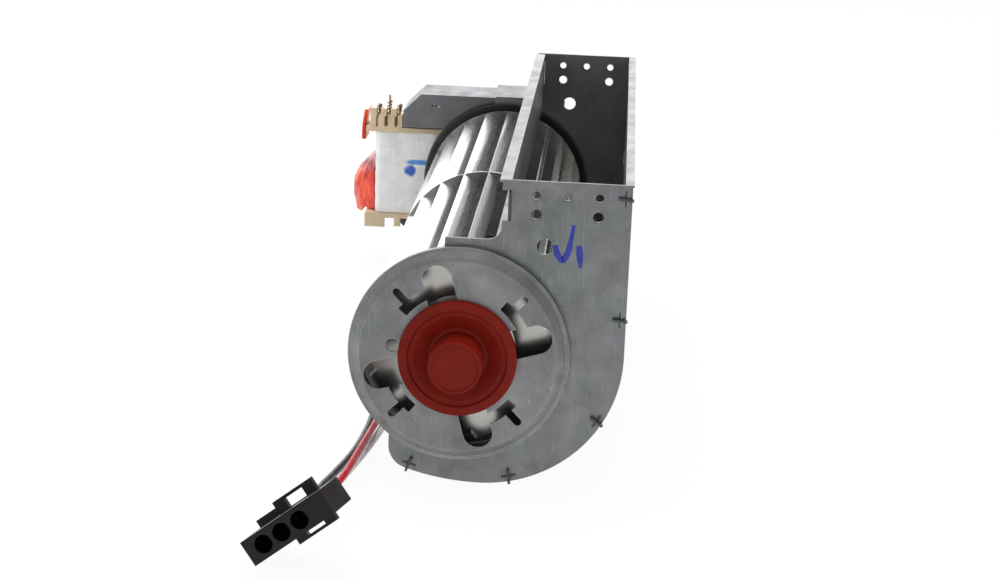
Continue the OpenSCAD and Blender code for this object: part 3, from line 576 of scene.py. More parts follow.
@dataclass(frozen=True)
class MarkerInk(Finish):
    """Felt-pen ink on metal: deep blue, thin at the ends, with a satin film."""

    def dress(self, tree: bpy.types.NodeTree, shader: bpy.types.Node) -> None:
        """Adds the uneven strength of a hand-drawn stroke."""
        thin = Pattern(1.5, 0.0, 0.45, stretch=(1, 1, 0.4))
        plug(tree, shader, {"Base Color": self.lay(tree, linear(self.colour), ("#23409A", thin))})


PLATE = GalvanisedSheet("galvanised plate", "#7E8082", 0.44, 0.9, scratch=0.5)
# The scroll sheet's dark tab heads are painted shade.
SCROLL = GalvanisedSheet("galvanised scroll sheet", "#929496", 0.42, 0.9, seed=9.0, head_shade="#55575A")
# The rear plate's ring is painted shade round the impeller.
REAR_PLATE = GalvanisedSheet("galvanised rear plate", "#8C8E90", 0.44, 0.9, dark="#7A7C7E", light="#9C9EA0",
                             seed=23.0, ring=0.8)
COVER = GalvanisedSheet("pressed galvanised cover", "#929293", 0.50, 0.9, scratch=0.4, seed=17.0,
                        edge_mm=0.4)
# Painted shade: the motor cover's colour and light tone are darker than the front plate's, for the shade at the far
# end; its ring is painted shade round the impeller.
MOTOR_COVER = GalvanisedSheet("galvanised motor cover", "#7C7D80", 0.44, 0.9, dark="#6C6E71", light="#8E9093",
                              seed=31.0, ring=0.8)
BLADE = RolledAluminium("rolled aluminium blade", "#E8E9EA", 0.27, 0.95)
DISC = RolledAluminium("rolled aluminium disc", "#B2B0AB", 0.24, 1.0)
STEEL = PlainMetal("turned steel", "#A7A9AB", 0.30, 1.0)
PLATED = PlainMetal("zinc-plated steel", "#B5B7B8", 0.34, 1.0, stain="#8F8A78")
BLACK_STEEL = PlainMetal("blackened steel", "#3A3B3D", 0.40, 1.0)
BRONZE = PlainMetal("sintered bronze", "#9A7044", 0.50, 1.0)
BRASS = PlainMetal("tinned brass", "#B89A62", 0.32, 1.0)
# Painted shade: the contacts are coloured dark for the shade deep in the connector's cavities.
CONTACT = PlainMetal("crimped contact in painted shade", "#5A5247", 0.45, 1.0)
ROTOR_IRON = PlainMetal("ground rotor iron", "#8E9092", 0.38, 1.0)
LAMINATION = Layered("varnished lamination stack", "#6E7073", 0.42, 0.7)
COPPER = Layered("enamelled copper winding", "#B0683A", 0.30, 0.9, pitch_mm=0.6, axis=Across.UPRIGHT,
                 groove="#4A2412")
ENAMEL = PlainMetal("brown enamelled wire", "#6E3B1F", 0.35, 0.6, stain="#3E2012")
COPPER_BAR = PlainMetal("copper bar", "#B87348", 0.35, 1.0, stain="#6A3A22")
SILICONE = Moulded("red silicone rubber", "#72170C", 0.52, grain=0.08, dusty=0.08, dust="#8A3426", round_mm=0.45,
                   shine=0.12)
NYLON_TAN = Moulded("glass-filled nylon", "#D8C5A2", 0.48, grain=0.15, dusty=0.3, dust="#E9DCC2", round_mm=0.25,
                    inner_light=0.15)
NYLON_BLACK = Moulded("black nylon", "#080809", 0.30, grain=0.08, dusty=0.08, dust="#3A3A3E", round_mm=0.3,
                      shine=0.4)
PVC_BLACK = Moulded("black lead insulation", "#141415", 0.38, grain=0.06, dusty=0.15, dust="#56565A", shine=0.35)
PVC_RED = Moulded("red lead insulation", "#AE1A27", 0.40, grain=0.06, dusty=0.12, dust="#D0747A", shine=0.3)
PVC_WHITE = Moulded("white lead insulation", "#F4F3F0", 0.40, grain=0.06, dusty=0.12, dust="#C9C6C0")
TAPE = WovenTape("white woven tape", "#FDF3EF", 0.75, axis=Across.UPRIGHT)
FILM = RedFilm("red insulation film", "#D8321C", 0.28)
INK = MarkerInk("blue marker ink", "#10248A", 0.5)

CAD_FINISHES: dict[str, Finish] = {
    "front_side_plate": PLATE, "rear_side_plate": REAR_PLATE, "scroll_sheet": SCROLL, "cutoff_sheet": SCROLL,
    "front_cover": COVER, "motor_cover": MOTOR_COVER, "bearing_boot": SILICONE, "front_bearing": BRONZE,
    "front_motor_bearing": BRONZE, "rear_motor_bearing": BRONZE, "impeller_front_disc": DISC,
    "impeller_middle_disc": DISC, "impeller_rear_disc": DISC, "front_stub_shaft": STEEL, "drive_hub": STEEL,
    "motor_shaft": STEEL, "hub_set_screw": BLACK_STEEL, "motor_rotor": ROTOR_IRON, "stator_stack": LAMINATION,
    "stator_leg": LAMINATION, "shading_rings": COPPER_BAR, "coil_winding": COPPER, "front_motor_bracket": PLATED,
    "rear_motor_bracket": PLATED, "bearing_clips": PLATED, "motor_spacers": PLATED, "motor_screws": PLATED,
    "motor_nuts": PLATED, "coil_bobbin": NYLON_TAN, "coil_terminals": BRASS, "connector_housing": NYLON_BLACK,
    "connector_contacts": CONTACT}


def new_object(name: str, points: list[Vector], faces: list[tuple[int, ...]],
               edges: list[tuple[int, int]] | None = None) -> bpy.types.Object:
    """Makes an object at the origin from points in the row frame.

    Args:
        name: the piece's name.
        points: its points in metres.
        faces: its faces, each a run of point numbers that turns outwards.
        edges: its edges, for a line without faces.

    Returns:
        The object, linked to the scene.
    """
    mesh = bpy.data.meshes.new(name)
    mesh.from_pydata([tuple(p) for p in points], edges or [], faces)
    mesh.update()
    made = bpy.data.objects.new(name, mesh)
    bpy.context.scene.collection.objects.link(made)
    return made


def grid_faces(across: int, up: int, first: int = 0, closed: bool = False) -> list[tuple[int, ...]]:
    """Joins a grid of points, listed row by row from below, with four-sided faces.

    Args:
        across: faces in a row.
        up: rows of faces.
        first: number of the grid's first point.
        closed: whether each row closes to a ring.

    Returns:
        The faces, which look out of a ring that turns to the left.
    """
    width = across if closed else across + 1
    faces = []
    for j in range(up):
        for i in range(across):
            a, b = first + j * width + i, first + j * width + (i + 1) % width
            faces.append((a, b, b + width, a + width))
    return faces


def smooth_line(points: list[Vector], steps: int) -> list[Vector]:
    """Gives a smooth line through points.

    Args:
        points: the points that it passes.
        steps: points on each stretch.

    Returns:
        The line's points.
    """
    padded = [2 * points[0] - points[1], *points, 2 * points[-1] - points[-2]]
    found = []
    for a, b, c, d in zip(padded, padded[1:], padded[2:], padded[3:]):
        for k in range(steps):
            t = k / steps
            found.append(0.5 * (2 * b + (c - a) * t + (2 * a - 5 * b + 4 * c - d) * t ** 2
                                + (3 * b - a - 3 * c + d) * t ** 3))
    return [*found, points[-1]]


def solidify(made: bpy.types.Object, thickness: float) -> None:
    """Gives a thin sheet its thickness inwards, with closed rims and smooth shading.

    Args:
        made: the sheet.
        thickness: in metres.
    """
    modifier = made.modifiers.new("thickness", "SOLIDIFY")
    modifier.thickness = thickness
    modifier.offset = -1
    freeze(made)
    for polygon in made.data.polygons:
        polygon.use_smooth = True


def freeze(made: bpy.types.Object) -> None:
    """Turns an object's modifiers into its plain mesh and takes them off."""
    bpy.context.view_layer.update()
    evaluated = made.evaluated_get(bpy.context.evaluated_depsgraph_get())
    mesh = bpy.data.meshes.new_from_object(evaluated)
    made.modifiers.clear()
    made.data = mesh


def declare(made: bpy.types.Object, slot: str = "", stands_for: str = "") -> None:
    """Args:
        made: the piece.
        slot: the record's material slot, where it has one; not used.
        stands_for: the source's node that it replaces, if any.
    """
    if stands_for:
        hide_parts(stands_for)
    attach(made, HOUSING)
    LOG.info("%s: %d faces", made.name, len(made.data.polygons))


class Tree:
    """A Geometry Nodes tree with named inputs."""

    def __init__(self, name: str, inputs: dict[str, tuple[str, object]]) -> None:
        """Makes the tree's interface.

        Args:
            name: the tree's name.
            inputs: input name to its socket type and its value.
        """
        self.group = bpy.data.node_groups.new(name, "GeometryNodeTree")
        self.group.interface.new_socket("Geometry", in_out="INPUT", socket_type="NodeSocketGeometry")
        self.values = {}
        for label, (kind, value) in inputs.items():
            socket = self.group.interface.new_socket(label, in_out="INPUT", socket_type=kind)
            self.values[socket.identifier] = value
        self.group.interface.new_socket("Geometry", in_out="OUTPUT", socket_type="NodeSocketGeometry")
        self.start = add(self.group, "NodeGroupInput")

    def add(self, kind: str, inputs: dict | None = None, **settings: object) -> bpy.types.Node:
        """Adds one node to the tree, as the plain function does."""
        return add(self.group, kind, inputs, **settings)

    def close(self, geometry: bpy.types.NodeSocket) -> None:
        """Ends the tree with real meshes and their material.

        Args:
            geometry: what the tree made.
        """
        real = self.add("GeometryNodeRealizeInstances", {"Geometry": geometry})
        dressed = self.add("GeometryNodeSetMaterial", {
            "Geometry": real.outputs[0], "Material": self.start.outputs["Material"]})
        self.add("NodeGroupOutput", {"Geometry": dressed.outputs[0]})

    def run(self, made: bpy.types.Object) -> None:
        """Runs the tree on an object and leaves the result as its plain mesh."""
        modifier = made.modifiers.new(self.group.name, "NODES")
        modifier.node_group = self.group
        for identifier, value in self.values.items():
            modifier[identifier] = value
        freeze(made)


def sweep(name: str, lines: list[list[Vector]], radius_mm: float, sides: int,
          finish: Finish) -> bpy.types.Object:
    """Makes a round closed tube along each of some lines.

    Args:
        name: the piece's name.
        lines: the points of each line in the row frame.
        radius_mm: the tube's radius.
        sides: faces round the tube.
        finish: the piece's finish.

    Returns:
        The object with all the tubes.
    """
    points: list[Vector] = []
    edges: list[tuple[int, int]] = []
    for line in lines:
        first = len(points)
        points += line
        edges += [(first + k, first + k + 1) for k in range(len(line) - 1)]
    made = new_object(name, points, [], edges)
    tree = Tree(name + "_sweep", {
        "Radius": ("NodeSocketFloat", radius_mm * MM), "Sides": ("NodeSocketInt", sides),
        "Material": ("NodeSocketMaterial", finish.material())})
    curve = tree.add("GeometryNodeMeshToCurve", {"Mesh": tree.start.outputs["Geometry"]})
    ring = tree.add("GeometryNodeCurvePrimitiveCircle", {
        "Resolution": tree.start.outputs["Sides"], "Radius": tree.start.outputs["Radius"]})
    tube = tree.add("GeometryNodeCurveToMesh", {
        "Curve": curve.outputs[0], "Profile Curve": ring.outputs[0], "Fill Caps": True})
    tree.close(tube.outputs[0])
    tree.run(made)
    return made


@dataclass(frozen=True)
class Lead:
    """One lead of the coil: a tube along its route.

    Attributes:
        name: the piece's name.
        node: the source's lead that it stands for.
        finish: its insulation.
        route: points from the coil to the connector, from the impeller axis in millimetres.
        radius_mm: radius over its insulation.
    """

    name: str
    node: str
    finish: Finish
    route: tuple[Triple, ...]
    radius_mm: float = 1.2

    def build(self) -> None:
        line = smooth_line([at(*p) for p in self.route], 6)
        made = sweep(self.name, [line], self.radius_mm, 20, self.finish)
        declare(made, self.node, self.node)
        length = sum((b - a).length for a, b in zip(line, line[1:]))
        tuple(line[0])
        [tuple(p) for p in line]
        LOG.info("%s: %.0f mm long", self.name, length / MM)


LEADS = (
    Lead("black_lead", "lead_black", PVC_BLACK, (
        (-46.4, 253.2, 24.5), (-44.4, 253.2, 24.5), (-41, 253.5, 25.5), (-38, 255.4, 28.2),
        (-37, 260, 29.6), (-37, 270, 29.8), (-37, 282, 29.2), (-37, 289, 25), (-37, 292, 18), (-37, 293, 0),
        (-37, 292, -22), (-36.6, 288, -35), (-34.5, 280, -41.5), (-34, 270, -42.8), (-34, 220, -42.8),
        (-34, 160, -42.8), (-34, 100, -42.8), (-33.8, 60, -42.8), (-33.8, 40, -42.4), (-34.6, 10, -39.8),
        (-37.2, -20, -36.4), (-38.6, -40, -33.4), (-40.58, -57.37, -34.74), (-40.92, -62.25, -33.7),
        (-41.23, -66.64, -32.76))),
    Lead("red_lead", "lead_red", PVC_RED, (
        (-46.4, 250.6, 24.5), (-44.4, 250.6, 24.5), (-40, 250.8, 25.5), (-35.5, 252.4, 28),
        (-34, 259, 29.6), (-34, 270, 29.8), (-34, 282, 29.2), (-34, 289, 25), (-34, 292, 18), (-34, 293, 0),
        (-34, 292, -22), (-33.4, 288, -35), (-31.4, 280, -41.5), (-31, 270, -42.8), (-31, 220, -42.8),
        (-31, 160, -42.8), (-31, 110, -42.8), (-31, 80, -42.6), (-31.1, 50, -41.2), (-31.4, 30, -39.4),
        (-31.8, 0, -35.8), (-32.6, -30, -32.6), (-35.53, -56.9, -30.92), (-35.87, -61.77, -29.88),
        (-36.18, -66.17, -28.94))),
    Lead("white_lead", "lead_white", PVC_WHITE, (
        (-46.4, 255.8, 24.5), (-44.4, 255.8, 24.7), (-42.4, 256.3, 26.8), (-41, 257.4, 28.6),
        (-40, 262, 29.8), (-40, 270, 29.8), (-40, 282, 29.2), (-40, 289, 25), (-40, 292, 18), (-40, 295, 0),
        (-40, 295.5, -22), (-37, 294, -34), (-29, 287, -41), (-28, 276, -42.8), (-28, 220, -42.8),
        (-28, 160, -42.8), (-28, 100, -42.8), (-28.2, 60, -42.8), (-30, 34, -42.8), (-35, 0, -42.8),
        (-40.5, -32, -41.9), (-43.6, -46, -40.6), (-45.63, -57.83, -38.57), (-45.97, -62.7, -37.53),
        (-46.28, -67.1, -36.59))))


@dataclass(frozen=True)
class Coil:
    """The wrapped coil: its tape with soft folds, the film at its left side and the ends of its wire.

    Heights and places are from the impeller axis in millimetres.

    Attributes:
        left, right, front, back: the tape's outer faces.
        half: half height of the tape.
        corner: radius of its corners.
        band: width of a band of the tape.
        lap: how far a band's edge stands out over the next one.
        fold, crease: depth of the slack folds and of the fine creases.
        tape_depth: how far the tape's surface lies inside the outer faces on average.
        tape_give: the most that it may lie inside them.
        film_low, film_height: lower edge and height of the bulging film.
        film_reach: how far left the film may bulge.
        film_bulge: how far it stands out at most, before the creases.
        film_hang: how far its lower edge hangs below the rest.
        strip_low, strip_height: lower edge and height of the film's strip over the flange.
        strip_lean_from, strip_lean: height from which the strip leans to the right, and its slope.
        pins: each pin's place, its slot's place and the pin's top.
        slot_y, pin_y: places of the block's slots and of its pins along the axis.
        wire_radius: radius of the enamelled wire.
        wrap_low, wrap_wide_from: heights where the wire's turns start and where they lie wider.
        turns, step: points on a pin's winding and the angle between two of them in degrees.
    """

    left: float = -58.2
    right: float = -30.0
    front: float = 250.0
    back: float = 286.0
    half: float = 18.2
    corner: float = 3.0
    band: float = 6.3
    lap: float = 0.28
    fold: float = 0.33
    crease: float = 0.28
    tape_depth: float = 0.22
    tape_give: float = 0.38
    film_low: float = -18.0
    film_height: float = 25.0
    film_reach: float = -69.05
    film_bulge: float = 11.2
    film_hang: float = 2.6
    strip_low: float = 14.0
    strip_height: float = 13.2
    strip_lean_from: float = 20.5
    strip_lean: float = 0.16
    pins: tuple[Triple, ...] = ((-56.7, -57.4, 29.6), (-52.3, -53.4, 31.4), (-47.9, -49.0, 29.9))
    slot_y: float = 248.7
    pin_y: float = 252.8
    wire_radius: float = 0.26
    wrap_low: float = 26.7
    wrap_wide_from: float = 28.6
    turns: int = 84
    step: float = 15.0

    def outline(self, count: int) -> list[tuple[Vector, Vector]]:
        """Walks round the tape's outline.

        Args:
            count: number of points.

        Returns:
            Each point in X and Y, and the direction out of the tape there.
        """
        r = self.corner
        centres = ((self.right - r, self.back - r), (self.left + r, self.back - r),
                   (self.left + r, self.front + r), (self.right - r, self.front + r))
        corners = []
        for k, (x, y) in enumerate(centres):
            for s in range(7):
                a = math.radians(90 * k + 15 * s)
                out = Vector((math.cos(a), math.sin(a)))
                corners.append((Vector((x, y)) + r * out, out))
        closed = corners + corners[:1]
        lengths = [(b[0] - a[0]).length for a, b in zip(closed, closed[1:])]
        step, found = sum(lengths) / count, []
        for i in range(count):
            want, k = i * step, 0
            while want > lengths[k]:
                want -= lengths[k]
                k += 1
            t = want / max(lengths[k], 1e-9)
            place, out = (a.lerp(b, t) for a, b in zip(closed[k], closed[k + 1]))
            found.append((place, out.normalized()))
        return found

    def tape_point(self, place: Vector, out: Vector, z: float) -> Vector:
        """Gives a point of the tape's surface.

        Args:
            place: the point on the tape's outline in X and Y.
            out: the direction out of the tape there.
            z: its height.

        Returns:
            The point in the row frame.
        """
        # The noise's places are scaled so that a fold is about 6 mm wide and a crease about 2 mm.
        lap = self.lap * (((z + self.half) / self.band + 0.35 * math.sin(place.x * 0.21)) % 1)
        fold = self.fold * noise.noise(Vector((place.x * 0.16, place.y * 0.16, z * 0.05)))
        crease = self.crease * abs(noise.noise(Vector((place.x * 0.5, place.y * 0.5, z * 0.11 + 7))))
        ends = min(1.0, (self.half - abs(z)) / 2)
        depth = -self.tape_depth + (lap + fold - crease) * (0.3 + 0.7 * ends)
        where = place + out * max(-self.tape_give, min(depth, 0.0))
        return at(where.x, where.y, z)

    def build_tape(self) -> None:
        """Wraps the tape in bands that lap over each other, with slack folds on the front."""
        columns, rows = 220, 72
        ring = self.outline(columns)
        heights = [-self.half + 2 * self.half * j / rows for j in range(rows + 1)]
        points = [self.tape_point(place, out, z) for z in heights for place, out in ring]
        made = new_object("wrapped_tape", points, grid_faces(columns, rows, closed=True))
        made.data.materials.append(TAPE.material())
        solidify(made, 0.08 * MM)
        declare(made, "coil_tape", "coil_tape")

    def film_point(self, v: float, u: float) -> Vector:
        """Gives a point of the bulging film.

        Args:
            v: share of its height, from below.
            u: share of its width, from the front.

        Returns:
            The point in the row frame.
        """
        bulge = self.film_bulge * math.sin(math.radians(55 + 125 * v ** 1.2)) * math.sin(math.pi * u)
        inner = min(1.0, 6 * (1 - v), 6 * u, 6 * (1 - u))
        crinkle = 0.7 * noise.noise(Vector((u * 9, v * 5, 3.1))) + 0.4 * noise.noise(Vector((u * 21, v * 9, 8.7)))
        x = max(self.film_reach, self.left - 0.15 - max(0.0, bulge + inner * crinkle))
        hang = self.film_hang * min(1.0, max(0.0, (bulge - 4.6) / 2)) * (1 - v) ** 2
        width = self.back - self.front - 6
        return at(x, self.front + 3 + width * u, self.film_low + self.film_height * v - hang)

    def strip_points(self, rows: int) -> list[Vector]:
        """Gives the points of the film's upright strip, row by row from below.

        Args:
            rows: rows of faces.

        Returns:
            The points in the row frame, as many in each row.
        """
        bend = ((-64.2, 252.2), (-63.6, 252.3), (-63.1, 252.2), (-62.8, 252.5), (-62.7, 253.3), (-62.7, 254.5))
        plan = [*bend, *((bend[-1][0], bend[-1][1] + k) for k in range(1, 10))]
        points = []
        for j in range(rows + 1):
            z = self.strip_low + self.strip_height * j / rows
            lean = self.strip_lean * max(0.0, z - self.strip_lean_from)
            for i, (x, y) in enumerate(plan):
                wave = 0.12 * noise.noise(Vector((i * 0.25, j * 0.2, 1.7)))
                points.append(at(x + lean + wave, y - 0.5 * wave, z))
        return points

    def build_film(self) -> None:
        """Makes the bulging film and its upright strip over the flange as one piece."""
        columns, rows, strip_rows = 48, 44, 16
        points = [self.film_point(j / rows, i / columns) for j in range(rows + 1) for i in range(columns + 1)]
        strip = self.strip_points(strip_rows)
        strip_columns = len(strip) // (strip_rows + 1) - 1
        faces = grid_faces(columns, rows) + grid_faces(strip_columns, strip_rows, len(points))
        made = new_object("crinkled_film", points + strip, [(a, d, c, b) for a, b, c, d in faces])
        made.data.materials.append(FILM.material())
        solidify(made, 0.12 * MM)
        declare(made, "insulation_film", "insulation_film")

    def wire_end(self, pin: float, slot: float, top: float) -> list[Vector]:
        """Leads one end of the wire up its slot and winds it round its pin, loosely near the top.

        Args:
            pin: the pin's place in X.
            slot: the slot's place in X.
            top: height of the last turn.

        Returns:
            The wire's points in the row frame.
        """
        climb = ((-0.3, 0.05, 20.6), (0.1, 0, 22), (-0.2, 0, 23.6), (0.15, 0, 25.2), (0.5, 0, 26.1))
        points = [at(slot + x, self.slot_y + y, z) for x, y, z in climb] + [at(pin, self.slot_y + 1.5, 26.6)]
        for k in range(self.turns + 1):
            turn = math.radians(-90 + self.step * k)
            z = self.wrap_low + (top - self.wrap_low) * k / self.turns
            tight, loose = 0.62 + 0.12 * math.sin(0.7 * k), 0.85 + 0.2 * math.sin(0.9 * k)
            wide = tight if z < self.wrap_wide_from else loose
            points.append(at(pin + wide * math.cos(turn), self.pin_y + wide * math.sin(turn), z))
        return points

    def build_wire_ends(self) -> None:
        """Makes the ends of the enamelled wire at the three pins as one piece."""
        made = sweep("wire_ends", [self.wire_end(*pin) for pin in self.pins], self.wire_radius, 10, ENAMEL)
        declare(made, "copper")

    def build(self) -> None:
        """Builds the soft wrapping of the coil and the ends of its wire."""
        self.build_tape()
        self.build_film()
        self.build_wire_ends()


def reshaped(name: str, node: str, slot: str, finish: Finish, move: Callable[[Vector], Vector]) -> None:
    """Makes a piece with a node's own surfaces, its points set to the photograph's form, in place of the node.

    Args:
        name: the piece's name.
        node: the source's node that it stands for.
        slot: the record's material slot.
        finish: the piece's finish.
        move: gives a point's new place, both from the impeller axis in millimetres.
    """
    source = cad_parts[node]
    points = [at(*move(source.matrix_world @ vertex.co / MM + MOUNT)) for vertex in source.data.vertices]
    made = new_object(name, points, [tuple(polygon.vertices) for polygon in source.data.polygons])
    made.data.polygons.foreach_set("use_smooth", [True] * len(made.data.polygons))
    made.data.set_sharp_from_angle(angle=math.radians(30))
    made.data.materials.append(finish.material())
    declare(made, slot, node)


@dataclass(frozen=True)
class Pressing:
    """The front cover pressed out towards the room, with the boot that sits in it, as the photograph shows them.

    Sizes are in millimetres, and depths are along the impeller axis from the front plate's face.

    Attributes:
        raised: how far the cover's face stands out from the plate beyond the source's.
        face_radius: radius of the flat face.
        slope: width of the slope from the face down to the rim.
        sheet: thickness of the cover.
        rim: how far the rim stands out in the source.
        boot_hole: radius of the hole that holds the boot.
        flange: depths between which the boot's flange lies.
        neck: depth of the boot's neck, behind which it stays where it is.
        funnel: how far the boot's funnel follows the face.
        boss: how much longer the boot's boss is.
        boss_radius: radius of the boss.
        boss_root, boss_length: depth of the boss's root and its length in the source.
    """

    raised: float = 4.4
    face_radius: float = 31.9
    slope: float = 2.6
    sheet: float = 0.8
    rim: float = 1.5
    boot_hole: float = 11.0
    flange: tuple[float, float] = (-0.9, 1.5)
    neck: float = -2.3
    funnel: float = 1.7
    boss: float = 0.6
    boss_radius: float = 9.0
    boss_root: float = -5.8
    boss_length: float = 8.7

    def cover(self, place: Vector) -> Vector:
        """Lifts the face and lays the rim flat on the plate.

        Args:
            place: a point of the source's cover.

        Returns:
            Its new place.
        """
        radius = math.hypot(place.x, place.z)
        share = min(1.0, max(0.0, radius - self.face_radius) / self.slope)
        lift = -self.raised * (1 - share)
        if place.y > -self.sheet - self.rim / 2 * share + 0.02:  # the sheet's back surface
            lift += self.rim * share
        return place + Vector((0, lift, 0))

    def boot(self, place: Vector) -> Vector:
        """Lets the boot's flange and funnel follow the cover's face.

        Args:
            place: a point of the source's boot.

        Returns:
            Its new place.
        """
        radius = math.hypot(place.x, place.z)
        if radius > self.boot_hole and self.flange[0] < place.y < self.flange[1]:
            return place + Vector((0, -self.raised, 0))
        if place.y > self.neck:
            return place
        share = max(0.0, self.boss_root - place.y) / self.boss_length if radius < self.boss_radius else 0.0
        return place + Vector((0, -self.funnel - self.boss * share, 0))

    def build(self) -> None:
        """Builds both pieces."""
        reshaped("raised_cover", "front_cover", "pressed_cover", COVER, self.cover)
        reshaped("raised_boot", "bearing_boot", "silicone", SILICONE, self.boot)


@dataclass(frozen=True)
class Housing:
    """Small forms on the sheet-metal housing: the burrs of the punched holes and the inspection mark.

    Sizes are in millimetres, and places are from the impeller axis.

    Attributes:
        row, pair: sideways places of the screw holes.
        row_z, pair_z: their heights.
        row_radius, pair_radius: their radii.
        burr, burr_depth: wall and depth of the burr that the punch left in each hole.
        seat: how far a burr's outer end lies behind the plate's face.
        strokes: the mark's two strokes in X and Z.
        stroke_half: half width of a stroke.
        ink_y: where the ink's face lies, just off the plate.
    """

    row: tuple[float, ...] = (22.75, 32.7, 42.65)
    pair: tuple[float, ...] = (22.95, 42.45)
    row_z: float = 52.8
    pair_z: float = 46.7
    row_radius: float = 1.65
    pair_radius: float = 2.0
    burr: float = 0.33
    burr_depth: float = 1.3
    seat: float = 0.06
    strokes: tuple[tuple[tuple[float, float], ...], ...] = (
        ((29.4, 37.2), (30.1, 34.4), (31.8, 32.4), (33.3, 34.8), (34.2, 39.0), (34.9, 44.0)),
        ((36.9, 37.4), (37.2, 34.0), (37.6, 30.2)))
    stroke_half: float = 1.05
    ink_y: float = -0.03

    def build_collars(self, name: str, places: list[Vector], radius: float, finish: Finish) -> None:
        """Puts the thin burr of the punch inside each hole.

        Args:
            name: the piece's name.
            places: hole centres on the burr's middle, in the row frame.
            radius: radius of the hole, mm.
            finish: the sheet's finish.
        """
        made = new_object(name, places, [])
        tree = Tree(name + "_burr", {
            "Radius": ("NodeSocketFloat", (radius - self.burr / 2) * MM),
            "Wall": ("NodeSocketFloat", self.burr * MM), "Depth": ("NodeSocketFloat", self.burr_depth * MM),
            "Material": ("NodeSocketMaterial", finish.material())})
        ring = tree.add("GeometryNodeCurvePrimitiveCircle", {
            "Resolution": 40, "Radius": tree.start.outputs["Radius"]})
        section = tree.add("GeometryNodeCurvePrimitiveQuadrilateral", {
            "Width": tree.start.outputs["Wall"], "Height": tree.start.outputs["Depth"]})
        burr = tree.add("GeometryNodeCurveToMesh", {
            "Curve": ring.outputs[0], "Profile Curve": section.outputs[0]})
        upright = tree.add("GeometryNodeTransform", {
            "Geometry": burr.outputs[0], "Rotation": Euler((math.radians(90), 0, 0))})
        spots = tree.add("GeometryNodeMeshToPoints", {"Mesh": tree.start.outputs["Geometry"]})
        many = tree.add("GeometryNodeInstanceOnPoints", {
            "Points": spots.outputs[0], "Instance": upright.outputs[0]})
        tree.close(many.outputs[0])
        tree.run(made)
        declare(made, "galvanised_plate")

    def build_mark(self) -> None:
        """Draws the generic inspection tick on the front plate, a thin layer of ink."""
        points: list[Vector] = []
        faces: list[tuple[int, ...]] = []
        for stroke in self.strokes:
            line = smooth_line([Vector(p) for p in stroke], 8)
            for k, p in enumerate(line):
                a, b = line[max(k - 1, 0)], line[min(k + 1, len(line) - 1)]
                along = (b - a).normalized()
                side = Vector((-along.y, along.x))
                share = k / (len(line) - 1)
                half = self.stroke_half * (0.55 + 0.45 * math.sin(math.pi * min(1, 0.15 + share * 0.9)))
                wobble = 0.12 * noise.noise(Vector((p.x * 1.7, p.y * 1.7, 0.4)))
                for s in (-1, 1):
                    edge = p + side * s * (half + wobble)
                    points.append(at(edge.x, self.ink_y, edge.y))
                if k:
                    n = len(points)
                    faces.append((n - 4, n - 3, n - 1, n - 2))
        made = new_object("inspection_mark", points, faces)
        made.data.materials.append(INK.material())
        declare(made)

    def build(self) -> None:
        """Builds the burrs of the screw holes at both ends and the mark."""
        middle = self.burr_depth / 2 + self.seat
        for end, y, finish in (("front", middle, PLATE), ("rear", HOUSING_LENGTH - middle, REAR_PLATE)):
            row = [at(x, y, self.row_z) for x in self.row]
            pair = [at(x, y, self.pair_z) for x in self.pair]
            self.build_collars(end + "_row_collars", row, self.row_radius, finish)
            self.build_collars(end + "_pair_collars", pair, self.pair_radius, finish)
        self.build_mark()


@dataclass(frozen=True)
class Lamp:
    """A round soft panel of light.

    Attributes:
        name: what it is called.
        place: its centre in the row frame, metres.
        size: its width in metres.
        watts: its power.
    """

    name: str
    place: Triple
    size: float
    watts: float

    def build(self, target: Triple) -> None:
        """Hangs the panel, out of sight of mirroring metal.

        Args:
            target: the point in the row frame that it faces.
        """
        data = bpy.data.lights.new(self.name, "AREA")
        data.shape, data.size, data.energy = "DISK", self.size, self.watts
        lamp = bpy.data.objects.new(self.name, data)
        bpy.context.scene.collection.objects.link(lamp)
        lamp.location = self.place
        lamp.visible_glossy = False
        aim = Vector(target) - Vector(self.place)
        lamp.rotation_euler = aim.to_track_quat("-Z", "Y").to_euler()


